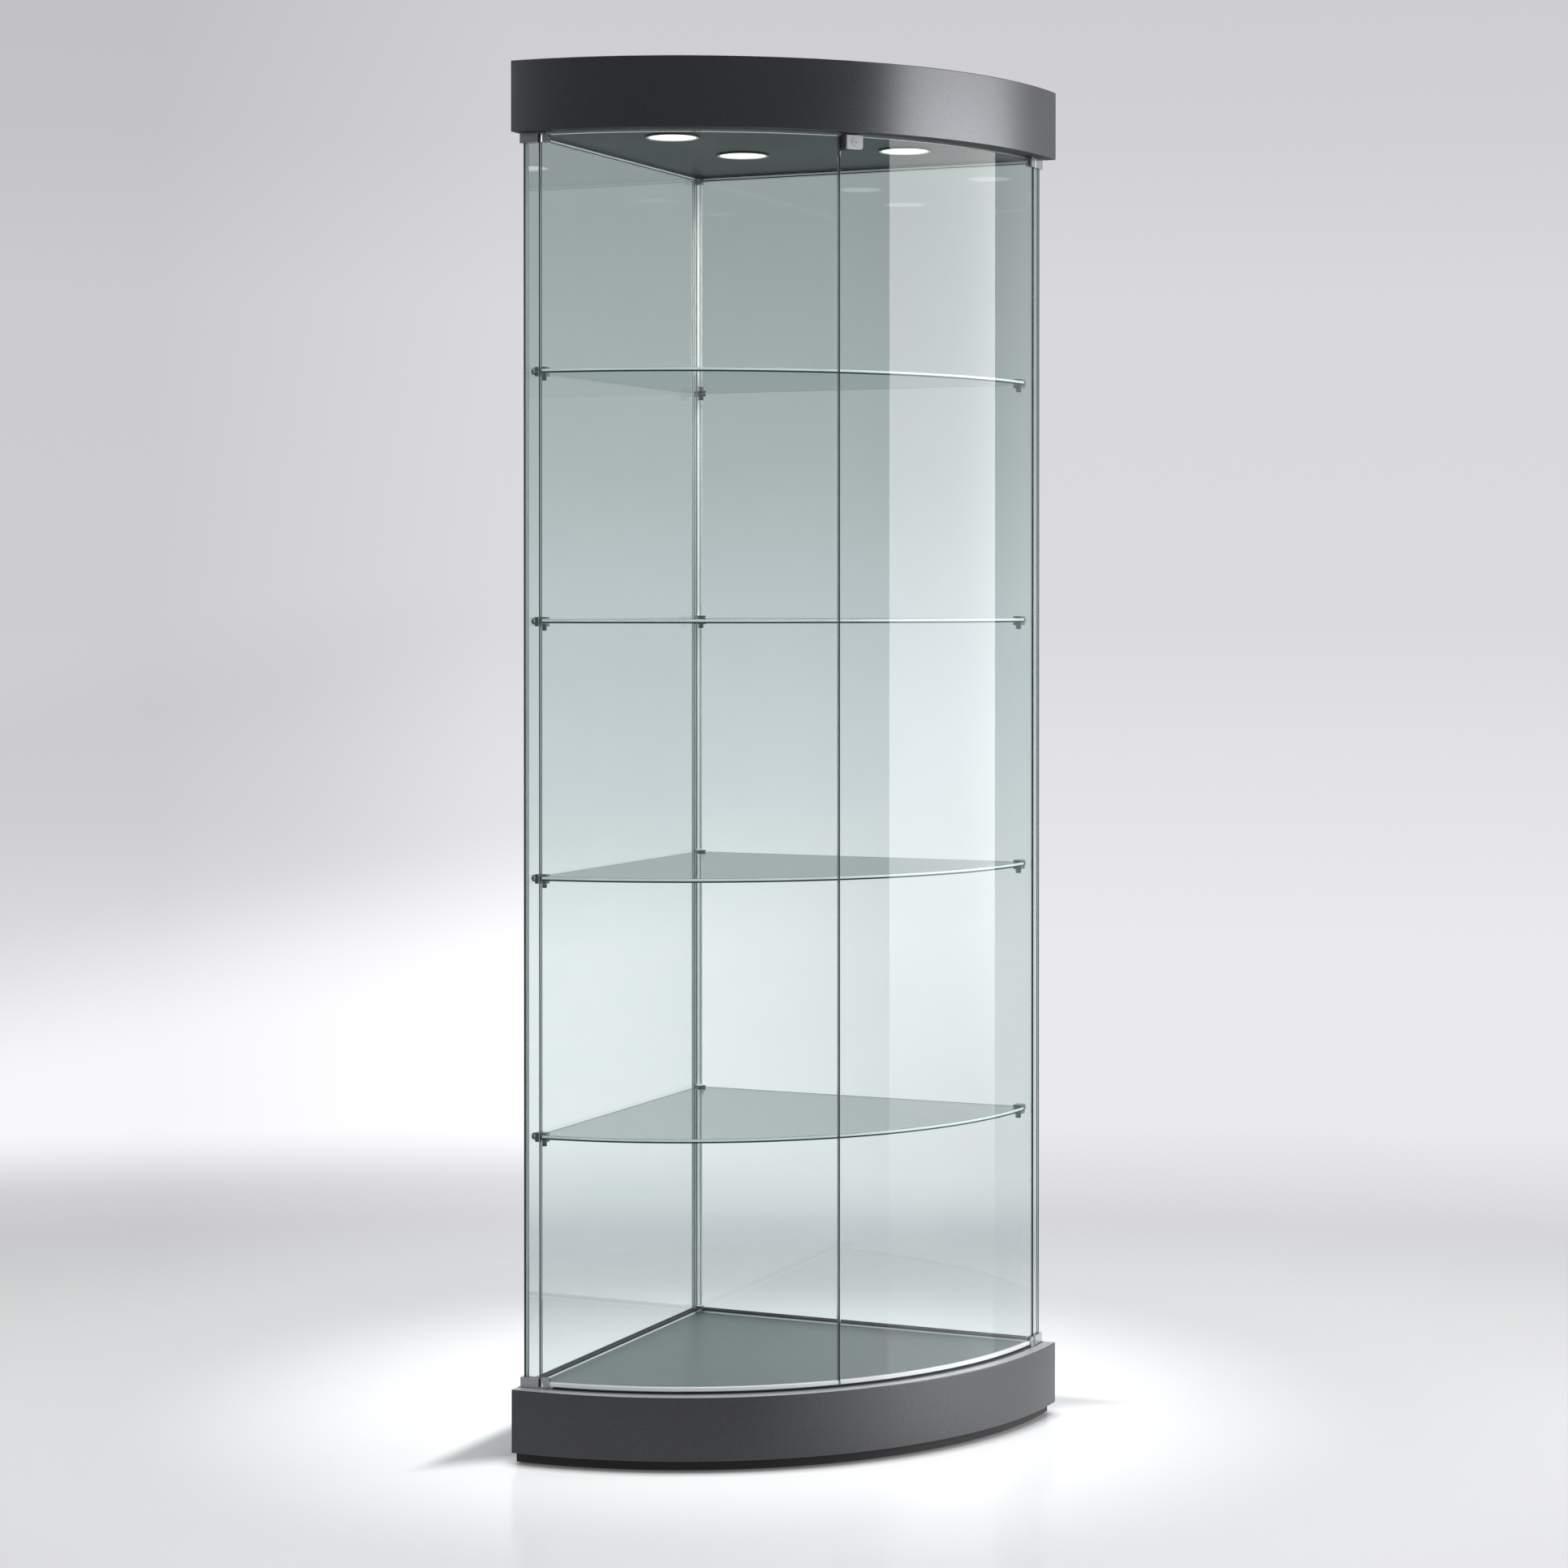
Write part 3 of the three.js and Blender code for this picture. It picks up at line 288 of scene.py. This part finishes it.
def paint_edge_shade_and_highlight(shape, pale, in_post):
    """Gives the cut edges of a sheet the dark edge finish (material 1), partly painted shade. Where pale is
    true, those that face the front take a painted highlight (material 2): the upper part of a shelf's edge,
    where light from above falls, and the middle of an upright one. Where in_post is true, so do those at the
    back, painted bright for the bright corner post they stand in."""
    shape.normal_update()
    sheet = BVHTree.FromBMesh(shape)
    cut = []
    for face in shape.faces:
        middle = face.calc_center_median()
        through = sheet.ray_cast(middle - face.normal * JUST_INSIDE, -face.normal)[3]
        if through is not None and through > CUT_DEPTH:
            cut.append(face)
    for face in cut:
        face.material_index = 2 if in_post and face.normal.y > -FACES_FRONT else 1
    front = [face for face in cut if face.normal.y < FACES_FRONT and abs(face.normal.z) < UPRIGHT]
    if not (pale and front):
        return
    corners = {corner for face in front for corner in face.verts}
    low = min(corner.co.z for corner in corners)
    lies_flat = max(corner.co.z for corner in corners) - low < 2 * GLASS
    # the painted highlight runs down the middle of an upright edge, and along the top of a shelf's edge
    if not lies_flat:
        bmesh.ops.inset_region(shape, faces=front, thickness=ARRIS, use_boundary=True, use_even_offset=True)
        for face in front:
            face.material_index = 2
        return
    sides = {edge for face in front for edge in face.edges}
    level = low + DARK_BAND
    bmesh.ops.bisect_plane(shape, geom=[*corners, *sides, *front], plane_co=(0, 0, level), plane_no=(0, 0, 1))
    for face in shape.faces:
        if face.material_index == 1 and face.normal.y < FACES_FRONT and face.calc_center_median().z > level:
            face.material_index = 2


def seal_lines(shape, black, black_middle=True, front_only=False):
    """Runs a black glazing seal (material number black) along the long upright faces of a drawn bar, either
    down their middle or along both their sides."""
    for face in list(shape.faces):
        length = max(edge.calc_length() for edge in face.edges)
        width = face.calc_area() / length
        wanted = abs(face.normal.z) < UPRIGHT and (face.normal.y < FACES_FRONT or not front_only)
        if wanted and length > BAR_LENGTH and width > BAR_WIDTH:
            rim = bmesh.ops.inset_individual(shape, faces=[face], thickness=SEAL_SHARE * width,
                                             use_even_offset=True)
            for dark in [face] if black_middle else rim["faces"]:
                dark.material_index = black


def seal_top(shape, black):
    """Makes the upper part of a lower wall channel, where it grips the glass, a black glazing seal."""
    heights = [corner.co.z for corner in shape.verts]
    level = min(heights) + BRIGHT_SHARE * (max(heights) - min(heights))
    bmesh.ops.bisect_plane(shape, geom=[*shape.verts, *shape.edges, *shape.faces], plane_co=(0, 0, level),
                           plane_no=(0, 0, 1))
    for face in shape.faces:
        if face.calc_center_median().z > level:
            face.material_index = black


def shade_trim(shape, middle):
    """Paints the outer rim of a lamp's trim black (material 1): painted shade for the shadow line that lies
    round it.
    """
    for face in shape.faces:
        away = face.calc_center_median() - middle
        if math.hypot(away.x, away.y) > TRIM_BRIGHT_RADIUS:
            face.material_index = 1


def lit_or_shaded_edge_finish(shape, side):
    """Gives the board's upper (side 1) or lower (side -1) edge another finish (material 1): painted light on an
    upper edge, painted shade on a lower one.
    """
    for face in shape.faces:
        if face.normal.z * side > EDGE_LEVEL:
            face.material_index = 1


def chrome_brackets(shape):
    """Gives the post's shelf brackets the clips' chrome (material 1). Its own faces run its full height."""
    for face in shape.faces:
        heights = [vertex.co.z for vertex in face.verts]
        if max(heights) - min(heights) < BRACKET_HEIGHT and abs(face.normal.z) < LEVEL:
            face.material_index = 1


def solid_piece(name, shape, materials):
    """A closed, smooth-shaded object made of a finished shape."""
    bmesh.ops.recalc_face_normals(shape, faces=shape.faces)
    mesh = bpy.data.meshes.new(name + "_shape")
    shape.to_mesh(mesh)
    shape.free()
    mesh.shade_smooth()
    mesh.set_sharp_from_angle(angle=CREASE_ANGLE)
    piece = bpy.data.objects.new(name, mesh)
    bpy.context.scene.collection.objects.link(piece)
    weighted = piece.modifiers.new("weighted_normals", "WEIGHTED_NORMAL")
    weighted.keep_sharp = True
    weighted.weight = 100
    for finish in materials:
        mesh.materials.append(finish)
    return piece


def stand_in(name, shape, extra=()):
    """Turns a finished shape into the piece that shows in a node's place."""
    piece = solid_piece(name + "_finished", shape, (finish_of(name), *extra))
    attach(piece, body_of[name])
    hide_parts(name)


def sweep(shape, section, start, end, rounded_corners, radius):
    """Bends a drawn section (reach and height of its corners) round the back corner."""
    ring = [shape.verts.new((r * math.sin(start), APEX.y - r * math.cos(start), z)) for r, z in section]
    shape.faces.new(ring)
    bmesh.ops.bevel(shape, geom=[ring[number] for number in rounded_corners], offset=radius, affect="VERTICES",
                    segments=4, profile=0.5, material=-1)
    bmesh.ops.spin(shape, geom=shape.verts[:] + shape.edges[:] + shape.faces[:], cent=APEX, axis=(0, 0, 1),
                   angle=end - start, steps=RAIL_STEPS)


def swept_rail(name):
    """Door rail: a drawn channel with rounded lips, bent round the back corner to the door's curve."""
    corners = [vertex.co for vertex in nodes[name].data.vertices]
    reaches = [math.hypot(corner.x, corner.y - APEX.y) for corner in corners]
    turns = [math.atan2(corner.x, APEX.y - corner.y) for corner in corners]
    heights = [corner.z for corner in corners]
    near, far, low, top = min(reaches), max(reaches), min(heights), max(heights)
    lip = (far - near - GLASS) / 2
    section = [(near, low), (far, low), (far, top), (far - lip, top), (far - lip, top - RAIL_GRIP),
               (near + lip, top - RAIL_GRIP), (near + lip, top), (near, top)]
    shape = bmesh.new()
    sweep(shape, section, min(turns), max(turns), (0, 1, 2, 7), RAIL_ROUNDING)
    stand_in(name, shape)


def dust_seal():
    """Low black seal on the deck under the doors' rails, black also as painted shade for the doors' bottom gap;
    it clears them by 1.3 mm.
    """
    near, far, low, top = DUST_SEAL
    shape = bmesh.new()
    section = [(near, low), (far, low), (far, top), (near, top)]
    sweep(shape, section, -DUST_SEAL_TURN, DUST_SEAL_TURN, (2, 3), DUST_SEAL_ROUNDING)
    piece = solid_piece("door_dust_seal", shape, [finishes["black_plastic"]])
    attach(piece, body_of["base_deck"])


def lock_grip():
    """Black thumb piece on the right door, between its edge and the lock's chromed case."""
    case_low, case_high = (Vector(corner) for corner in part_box("lock_case"))
    size = Vector((GRIP_WIDTH, GRIP_DEPTH, case_high.z - case_low.z - GRIP_SHORTER))
    middle = Vector((case_low.x - size.x / 2, case_low.y + GRIP_SETBACK + size.y / 2,
                     (case_low.z + case_high.z) / 2))
    shape = bmesh.new()
    bmesh.ops.create_cube(shape, size=1.0)
    bmesh.ops.scale(shape, vec=size, verts=shape.verts)
    bmesh.ops.translate(shape, vec=middle, verts=shape.verts)
    bmesh.ops.bevel(shape, geom=shape.edges[:], offset=GRIP_ROUNDING, affect="EDGES", segments=3, profile=0.5,
                    material=-1)
    piece = solid_piece("lock_thumb_piece", shape, [finishes["black_plastic"]])
    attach(piece, body_of["lock_case"])


def dress(name, shape):
    """Gives parts of a piece a finish of their own. Returns these finishes, material 1 first."""
    if finish_of(name) == finishes["clear_glass"]:
        # painted highlights on the front edges of the shelves and left wall, and on the wall panes' ends in the
        # post
        paint_edge_shade_and_highlight(shape, name.startswith(("shelf_", "wall_glass_left")), name.startswith("wall_glass"))
        return [dark_edge, pale_highlight_edge]
    if name.startswith("channel_lower"):
        seal_top(shape, 1)
        return [finishes["black_plastic"]]
    if name.startswith("channel_upper"):
        seal_lines(shape, 1, black_middle=False)
        return [finishes["black_plastic"]]
    if name == "header_fascia":
        # the header's underside is painted matt black: painted shade
        lit_or_shaded_edge_finish(shape, -1)
        return [finishes["plinth_board"]]
    if name == "base_fascia":
        # the base's upper edge takes the pale copy of the lacquer: painted light
        lit_or_shaded_edge_finish(shape, 1)
        return [ledge_lacquer_painted_light]
    if name == "corner_post":
        chrome_brackets(shape)
        seal_lines(shape, 2, front_only=True)
        return [clip_chrome, finishes["black_plastic"]]
    if name.startswith("lamp_body"):
        low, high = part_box(name)
        # the trim's outer rim is painted black: painted shade round the lamp
        shade_trim(shape, (Vector(low) + Vector(high)) / 2)
        return [finishes["black_plastic"]]
    return []


def rounded(name, radius):
    """Stands a copy of a node in its place, with its facets joined and its sharp edges eased."""
    shape = bmesh.new()
    shape.from_mesh(nodes[name].data)
    bmesh.ops.remove_doubles(shape, verts=shape.verts, dist=SAME_POINT)
    bmesh.ops.dissolve_limit(shape, angle_limit=FLAT_ANGLE, verts=shape.verts, edges=shape.edges)
    if radius > 0:
        sharp = [edge for edge in shape.edges if edge.is_manifold and edge.calc_face_angle(0.0) > SHARP_ANGLE]
        bmesh.ops.bevel(shape, geom=sharp, offset=radius, offset_type="OFFSET", affect="EDGES", segments=3,
                        profile=0.5, material=-1, clamp_overlap=True)
    extra = dress(name, shape)
    stand_in(name, shape, extra)


# how far the sharp edges of each kind of piece are eased; the nodes that aren't named here keep their shape
ROUNDING = [
    (("header_fascia", "base_fascia", "plinth_board"), 0.0012),
    (("header_back", "base_back"), 0.001),
    (("corner_clamp",), 0.0007),
    (("door_glass", "return_glass", "wall_glass", "shelf_", "pivot_shoe", "lock_case"), 0.0006),
    (("corner_post", "levelling_foot"), 0.0004),
    (("channel", "lamp_body", "power_inlet"), 0.0003),
    (("lock_cylinder",), 0.0002),
    (("lamp_lens",), 0.0),
]
for cad_name, cad_node in nodes.items():
    edge_radius = next((radius for starts, radius in ROUNDING if cad_name.startswith(starts)), None)
    if cad_name.startswith("door_rail"):
        swept_rail(cad_name)
    elif edge_radius is None:
        cad_node.data.materials.clear()
        cad_node.data.materials.append(finish_of(cad_name))
        for face in cad_node.data.polygons:
            face.material_index = 0
    else:
        rounded(cad_name, edge_radius)
dust_seal()
lock_grip()


# Studio: a floor round the cabinet that fades into the backdrop. What the camera sees of the backdrop is its
# own colour; what the cabinet throws on the floor still shows.
# the floor's own white carries a painted pool of light round the cabinet, painted shadow beside the base's
# walls and painted shade under its overhang
SMOOTH = {"interpolation_type": "SMOOTHSTEP"}
FLOOR_SOLID = 0.7                    # the floor is whole up to this far from its middle,
FLOOR_REACH = 2.0                    # and quite clear at its rim
POOL_MIDDLE = (0.02, 0.11, 0.0)      # of the painted pool of light on the floor, in which the cabinet stands
POOL = {**SMOOTH, "From Min": 0.25, "From Max": 1.0, "To Min": 0.65, "To Max": 0.17}
STRIP_FRONT = (-0.13, -0.06)         # the strips of painted shadow beside the walls start at this Y,
STRIP_EDGE = (0.48, 0.42)            # and end where |X| + Y, which is 0.3 at the walls, is this
STRIP_TAKES = {"From Min": -0.1, "From Max": 0.1, "To Min": -1.0, "To Max": -0.6}   # how much of the white the painted shadow takes: more on the left
NOOK_REACH = 0.03                    # of the painted shade under the base's overhang
NOOK = {"From Min": 0.45, "From Max": 0.98, "To Min": 0.1}
# the floor as reflections see it: a painted reflection, dim on the left and bright on the right
PAINTED_REFLECTION = {**SMOOTH, "From Min": -0.2, "From Max": 0.45, "To Min": 0.3, "To Max": 0.92}


def overlap(tree, *steps):
    """Where smooth steps overlap. Each is given by a value, and where along it the step starts and is full."""
    shared = None
    for value, start, full in steps:
        step = node(tree, "ShaderNodeMapRange", {**SMOOTH, "From Min": start, "From Max": full}, Value=value)
        share = step.outputs["Result"]
        if shared is not None:
            share = node(tree, "ShaderNodeMath", {"operation": "MULTIPLY"}, i0=shared, i1=share).outputs[0]
        shared = share
    return shared


def floor_finish():
    """White glossy studio floor: partly its own white, with a painted pool of light round the cabinet and
    painted shadow beside and under the base, partly lit, clear towards its rim.
    """
    material, tree = new_material("white_gloss_studio_floor")
    place = node(tree, "ShaderNodeTexCoord").outputs["Object"]
    split = node(tree, "ShaderNodeSeparateXYZ", {}, Vector=place)
    reach = node(tree, "ShaderNodeVectorMath", {"operation": "LENGTH"}, i0=place)
    fade = node(tree, "ShaderNodeMapRange", {"interpolation_type": "SMOOTHERSTEP", "From Min": FLOOR_SOLID,
                                             "From Max": FLOOR_REACH}, Value=reach.outputs["Value"])
    away = node(tree, "ShaderNodeVectorMath", {"operation": "DISTANCE", 1: POOL_MIDDLE}, i0=place)
    pool = node(tree, "ShaderNodeMapRange", POOL, Value=away.outputs["Value"])
    # painted shadow: its own white is held back in a strip beside both walls of the base, and painted shade
    # under the base's overhang
    aside = node(tree, "ShaderNodeMath", {"operation": "ABSOLUTE"}, i0=split.outputs["X"])
    beyond = node(tree, "ShaderNodeMath", {"operation": "ADD"}, i0=aside.outputs[0], i1=split.outputs["Y"])
    strip = overlap(tree, (split.outputs["Y"], *STRIP_FRONT), (beyond.outputs[0], *STRIP_EDGE))
    taken = node(tree, "ShaderNodeMapRange", STRIP_TAKES, Value=split.outputs["X"])
    left_over = node(tree, "ShaderNodeMath", {"operation": "MULTIPLY_ADD", 2: 1.0}, i0=strip,
                     i1=taken.outputs["Result"])
    nook = node(tree, "ShaderNodeAmbientOcclusion", {"samples": 8, "Distance": NOOK_REACH})
    in_open = node(tree, "ShaderNodeMapRange", NOOK, Value=nook.outputs["AO"])
    shaded_pool = node(tree, "ShaderNodeMath", {"operation": "MULTIPLY"}, i0=pool.outputs["Result"],
                       i1=left_over.outputs[0])
    white_with_painted_light = node(tree, "ShaderNodeMath", {"operation": "MULTIPLY"}, i0=shaded_pool.outputs[0],
                     i1=in_open.outputs["Result"])
    skin = node(tree, "ShaderNodeBsdfPrincipled", {"Base Color": linear(0xC0C0C2), "Roughness": 0.16,
                                                   "Specular IOR Level": 0.15,
                                                   "Emission Color": linear(0xFFFFFF)},
                Emission_Strength=white_with_painted_light.outputs[0])
    # lamps' bounce off it is plain, and what it shows in reflections is a painted reflection of light, bright
    # on the right only
    plain = node(tree, "ShaderNodeBsdfPrincipled", {"Base Color": linear(0xDCDCDE), "Roughness": 0.5})
    bright_side_painted = node(tree, "ShaderNodeMapRange", PAINTED_REFLECTION, Value=split.outputs["X"])
    mirrored = node(tree, "ShaderNodeEmission", {"Color": linear(0xFFFFFF)},
                    Strength=bright_side_painted.outputs["Result"])
    path = node(tree, "ShaderNodeLightPath")
    direct = node(tree, "ShaderNodeMath", {"operation": "MAXIMUM"}, i0=path.outputs["Is Camera Ray"],
                  i1=path.outputs["Is Transmission Ray"])
    unseen = node(tree, "ShaderNodeMixShader", {}, i0=path.outputs["Is Glossy Ray"], i1=plain.outputs["BSDF"],
                  i2=mirrored.outputs["Emission"])
    near = node(tree, "ShaderNodeMixShader", {}, i0=direct.outputs[0], i1=unseen.outputs["Shader"],
                i2=skin.outputs["BSDF"])
    gone = node(tree, "ShaderNodeBsdfTransparent")
    both = node(tree, "ShaderNodeMixShader", {}, i0=fade.outputs["Result"], i1=near.outputs["Shader"],
                i2=gone.outputs["BSDF"])
    finish_with(tree, both.outputs["Shader"])
    return material


floor_shape = bmesh.new()
bmesh.ops.create_circle(floor_shape, cap_ends=True, segments=96, radius=FLOOR_REACH)
floor_mesh = bpy.data.meshes.new("studio_floor")
floor_shape.to_mesh(floor_mesh)
floor_shape.free()
floor_mesh.materials.append(floor_finish())
disc = bpy.data.objects.new("studio_floor", floor_mesh)
bpy.context.scene.collection.objects.link(disc)


def soft_lamp(name, place, aim, width, height, power, colour=0xFFFFFF, fade=0.0):
    """Softbox. Fade is the share of its height over which it dims towards its lower edge; such a lamp is a
    little dimmer along its top too."""
    lamp = bpy.data.lights.new(name, "AREA")
    lamp.shape = "RECTANGLE"
    lamp.size, lamp.size_y = width, height
    lamp.energy = power
    lamp.color = linear(colour)[:3]
    if fade > 0:
        lamp.use_nodes = True
        tree = lamp.node_tree
        on_face = node(tree, "ShaderNodeNewGeometry").outputs["Parametric"]
        up = node(tree, "ShaderNodeSeparateXYZ", {}, Vector=on_face).outputs["Y"]
        foot = node(tree, "ShaderNodeMapRange", {**SMOOTH, "From Max": fade}, Value=up)
        top = node(tree, "ShaderNodeMapRange", {**SMOOTH, "From Min": TOP_DIM_END, "From Max": TOP_DIM_START,
                                                "To Min": TOP_DIM}, Value=up)
        level = node(tree, "ShaderNodeMath", {"operation": "MULTIPLY"}, i0=foot.outputs["Result"],
                     i1=top.outputs["Result"])
        tree.links.new(level.outputs[0], tree.nodes["Emission"].inputs["Strength"])
    holder = bpy.data.objects.new(name, lamp)
    holder.location = place
    holder.rotation_euler = (Vector(aim) - Vector(place)).to_track_quat("-Z", "Y").to_euler()
    bpy.context.scene.collection.objects.link(holder)
    holder.visible_camera = False
    holder.visible_transmission = False
    return holder


def round_about(azimuth, distance, height):
    """A point round the cabinet; azimuth is in degrees to the right of the front."""
    turn = math.radians(azimuth)
    return (distance * math.sin(turn), -distance * math.cos(turn), height)


# up a softbox: where its top starts to dim, from where it is dimmest, and how bright it is there
TOP_DIM_START, TOP_DIM_END, TOP_DIM = 0.85, 0.94, 0.35
DOWNLIGHT_SIZE = 0.05
DOWNLIGHT_POWER = 1.6
DOWNLIGHT_DROP = 0.003           # under its lens
soft_lamp("right_softbox", place=round_about(61.5, 4.2, 1.05), aim=(0, 0, 1.05), width=3.3, height=3.6,
          power=182, fade=0.48)
soft_lamp("top_softbox", place=(0.3, -0.6, 4.6), aim=(0, 0, 0), width=3.0, height=3.0, power=130)
soft_lamp("left_softbox", place=round_about(-95, 4.0, 1.8), aim=(0, 0, 1.0), width=1.6, height=2.6, power=31)
for lamp_number in (1, 2, 3):
    lens_low, lens_high = (Vector(corner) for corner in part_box(f"lamp_lens_{lamp_number}"))
    under = (lens_low + lens_high) / 2
    under.z = lens_low.z - DOWNLIGHT_DROP
    downlight = soft_lamp(f"downlight_{lamp_number}", under, under - Vector((0, 0, 1)), DOWNLIGHT_SIZE,
                          DOWNLIGHT_SIZE, DOWNLIGHT_POWER, colour=0xFFFAF2)
    downlight.visible_glossy = False

# shades of the backdrop against the height of the line of sight, from straight ahead (0) to upright (1)
AIR_LOW, AIR_HIGH = -0.5, 0.3
AIR_SHADES = [(-0.5, 0xE4E4E6), (-0.2585, 0xE4E4E6), (-0.243, 0xEFEFF0), (-0.226, 0xF5F5F6),
              (-0.2107, 0xE7E7E8), (-0.186, 0xD9DADB), (-0.177, 0xD6D6D8), (-0.166, 0xDFDFE2),
              (-0.15, 0xEAEAED), (-0.1, 0xEAEAED), (-0.0426, 0xE2E2E5), (-0.007, 0xDBDBDD),
              (0.087, 0xD9D9DB), (0.134, 0xD1D1D3), (0.3, 0xC6C6C8)]
GLASS_SHADES = [(-0.5, 0xEAEAEC), (-0.27, 0xEAEAEC), (-0.212, 0xE0E1E4), (-0.199, 0xD7D8DC),
                (-0.187, 0xD5D6DA), (-0.18, 0xDADCE0), (-0.173, 0xEEF0F2), (-0.165, 0xF9FBFB),
                (-0.1, 0xFAFCFC), (-0.0308, 0xE2E7EB), (0.04, 0xC3C9C9), (0.11, 0xAEB4B4), (0.3, 0xA4AAAA)]
MIRROR_SHADES = [(-0.5, 0xACB6B5), (-0.02, 0xACB6B5), (0.0, 0xC8CCCC), (0.04, 0xC0C6C6), (0.11, 0xB8BCBD),
                 (0.17, 0xB8BBBC), (0.22, 0xD0D0D2), (0.3, 0xD0D0D2)]
# where the glow low on the left and the shade over it start and are full: up and across the line of sight
SLANT = -0.2
GLOW_TOP, GLOW_FOOT, GLOW_SIDE = (-0.118, -0.168), (-0.169, -0.15), (0.42, 0.3)
SHADE_TOP, SHADE_FOOT, SHADE_SIDE = (-0.04, -0.075), (-0.1, -0.06), (0.3, 0.22)
GLOW, GLOW_IN_GLASS, SHADE = 0.27, 0.189, -0.07
# and how the backdrop's level changes across the line of sight, and in reflections from front to rear
OPEN_SIDE = {"From Min": 0.19, "From Max": 0.285, "To Min": 0.865}
GLASS_SIDE = {"From Min": 0.37, "From Max": 0.43, "To Min": 1.01, "To Max": 0.95}
MIRROR_REAR = {**SMOOTH, "From Min": -0.35, "From Max": 0.3, "To Min": 0.13}


def shade_ramp(tree, height, stops):
    """Colour against the height of the line of sight."""
    rise = node(tree, "ShaderNodeMapRange", {"From Min": AIR_LOW, "From Max": AIR_HIGH}, Value=height)
    shades = node(tree, "ShaderNodeValToRGB", {}, Fac=rise.outputs["Result"])
    ramp = shades.color_ramp
    ramp.elements[0].color = linear(stops[0][1])
    ramp.elements[1].color = linear(stops[-1][1])
    for at, shade in stops[1:-1]:
        ramp.elements.new((at - AIR_LOW) / (AIR_HIGH - AIR_LOW)).color = linear(shade)
    return shades.outputs["Color"]


def studio_air():
    """Backdrop: its shade changes with height, from the white floor through a soft far edge to pale grey,
    with a glow low on the left. The light it gives is plain, and towards the front it is dim in reflections.
    Glass and metal that mirror it from behind see its upper part, and below it a mid grey."""
    world = bpy.data.worlds.new("studio_air")
    bpy.context.scene.world = world
    world.use_nodes = True
    air = world.node_tree
    air.nodes.clear()
    direction = node(air, "ShaderNodeTexCoord").outputs["Generated"]
    split = node(air, "ShaderNodeSeparateXYZ", {}, Vector=direction)
    sideways, depth, height = (split.outputs[axis] for axis in "XYZ")
    open_shade = shade_ramp(air, height, AIR_SHADES)
    glass_shade = shade_ramp(air, height, GLASS_SHADES)
    mirror_shade = shade_ramp(air, height, MIRROR_SHADES)

    # what the camera sees, and what it sees through glass
    slanted = node(air, "ShaderNodeMath", {"operation": "MULTIPLY_ADD", 1: SLANT}, i0=sideways, i2=height)
    glow = overlap(air, (slanted.outputs[0], *GLOW_TOP), (height, *GLOW_FOOT), (sideways, *GLOW_SIDE))
    shade = overlap(air, (slanted.outputs[0], *SHADE_TOP), (height, *SHADE_FOOT), (sideways, *SHADE_SIDE))
    side = node(air, "ShaderNodeMapRange", OPEN_SIDE, Value=sideways)
    shaded = node(air, "ShaderNodeMath", {"operation": "MULTIPLY_ADD", 1: SHADE}, i0=shade,
                  i2=side.outputs["Result"])
    level = node(air, "ShaderNodeMath", {"operation": "MULTIPLY_ADD", 1: GLOW}, i0=glow, i2=shaded.outputs[0])
    seen = node(air, "ShaderNodeBackground", {}, Color=open_shade, Strength=level.outputs[0])
    glass_side = node(air, "ShaderNodeMapRange", GLASS_SIDE, Value=sideways)
    glass_level = node(air, "ShaderNodeMath", {"operation": "MULTIPLY_ADD", 1: GLOW_IN_GLASS}, i0=glow,
                       i2=glass_side.outputs["Result"])
    through = node(air, "ShaderNodeBackground", {}, Color=glass_shade, Strength=glass_level.outputs[0])

    # what lights the cabinet, and what it mirrors
    lit = node(air, "ShaderNodeBackground", {"Color": linear(0xDDDEE0), "Strength": 0.5})
    rear_share = node(air, "ShaderNodeMapRange", MIRROR_REAR, Value=depth)
    mirrored = node(air, "ShaderNodeBackground", {}, Color=mirror_shade, Strength=rear_share.outputs["Result"])
    path = node(air, "ShaderNodeLightPath")
    unseen = node(air, "ShaderNodeMixShader", {}, i0=path.outputs["Is Glossy Ray"],
                  i1=lit.outputs["Background"], i2=mirrored.outputs["Background"])
    bounced = node(air, "ShaderNodeMath", {"operation": "GREATER_THAN", 1: 0.5},
                   i0=path.outputs["Glossy Depth"])
    beyond = node(air, "ShaderNodeMixShader", {}, i0=bounced.outputs[0], i1=through.outputs["Background"],
                  i2=mirrored.outputs["Background"])
    glazed = node(air, "ShaderNodeMixShader", {}, i0=path.outputs["Is Transmission Ray"],
                  i1=unseen.outputs["Shader"], i2=beyond.outputs["Shader"])
    whole = node(air, "ShaderNodeMixShader", {}, i0=path.outputs["Is Camera Ray"], i1=glazed.outputs["Shader"],
                 i2=seen.outputs["Background"])
    node(air, "ShaderNodeOutputWorld", {}, Surface=whole.outputs["Shader"])


studio_air()

lens = bpy.data.cameras.new("camera")
lens.sensor_width = SENSOR
lens.lens = FOCAL_PIXELS / IMAGE_SIDE * SENSOR
lens.shift_y = (HORIZON_ROW - IMAGE_SIDE / 2) / IMAGE_SIDE
lens.clip_end = 100.0
viewer = bpy.data.objects.new("camera", lens)
viewer.location = CAMERA_PLACE
forward = Vector((math.sin(CAMERA_TURN) * math.cos(CAMERA_DIP), math.cos(CAMERA_TURN) * math.cos(CAMERA_DIP),
                  -math.sin(CAMERA_DIP)))
viewer.rotation_euler = forward.to_track_quat("-Z", "Y").to_euler()
bpy.context.scene.collection.objects.link(viewer)
bpy.context.scene.camera = viewer
bpy.context.scene.view_settings.view_transform = "Standard"
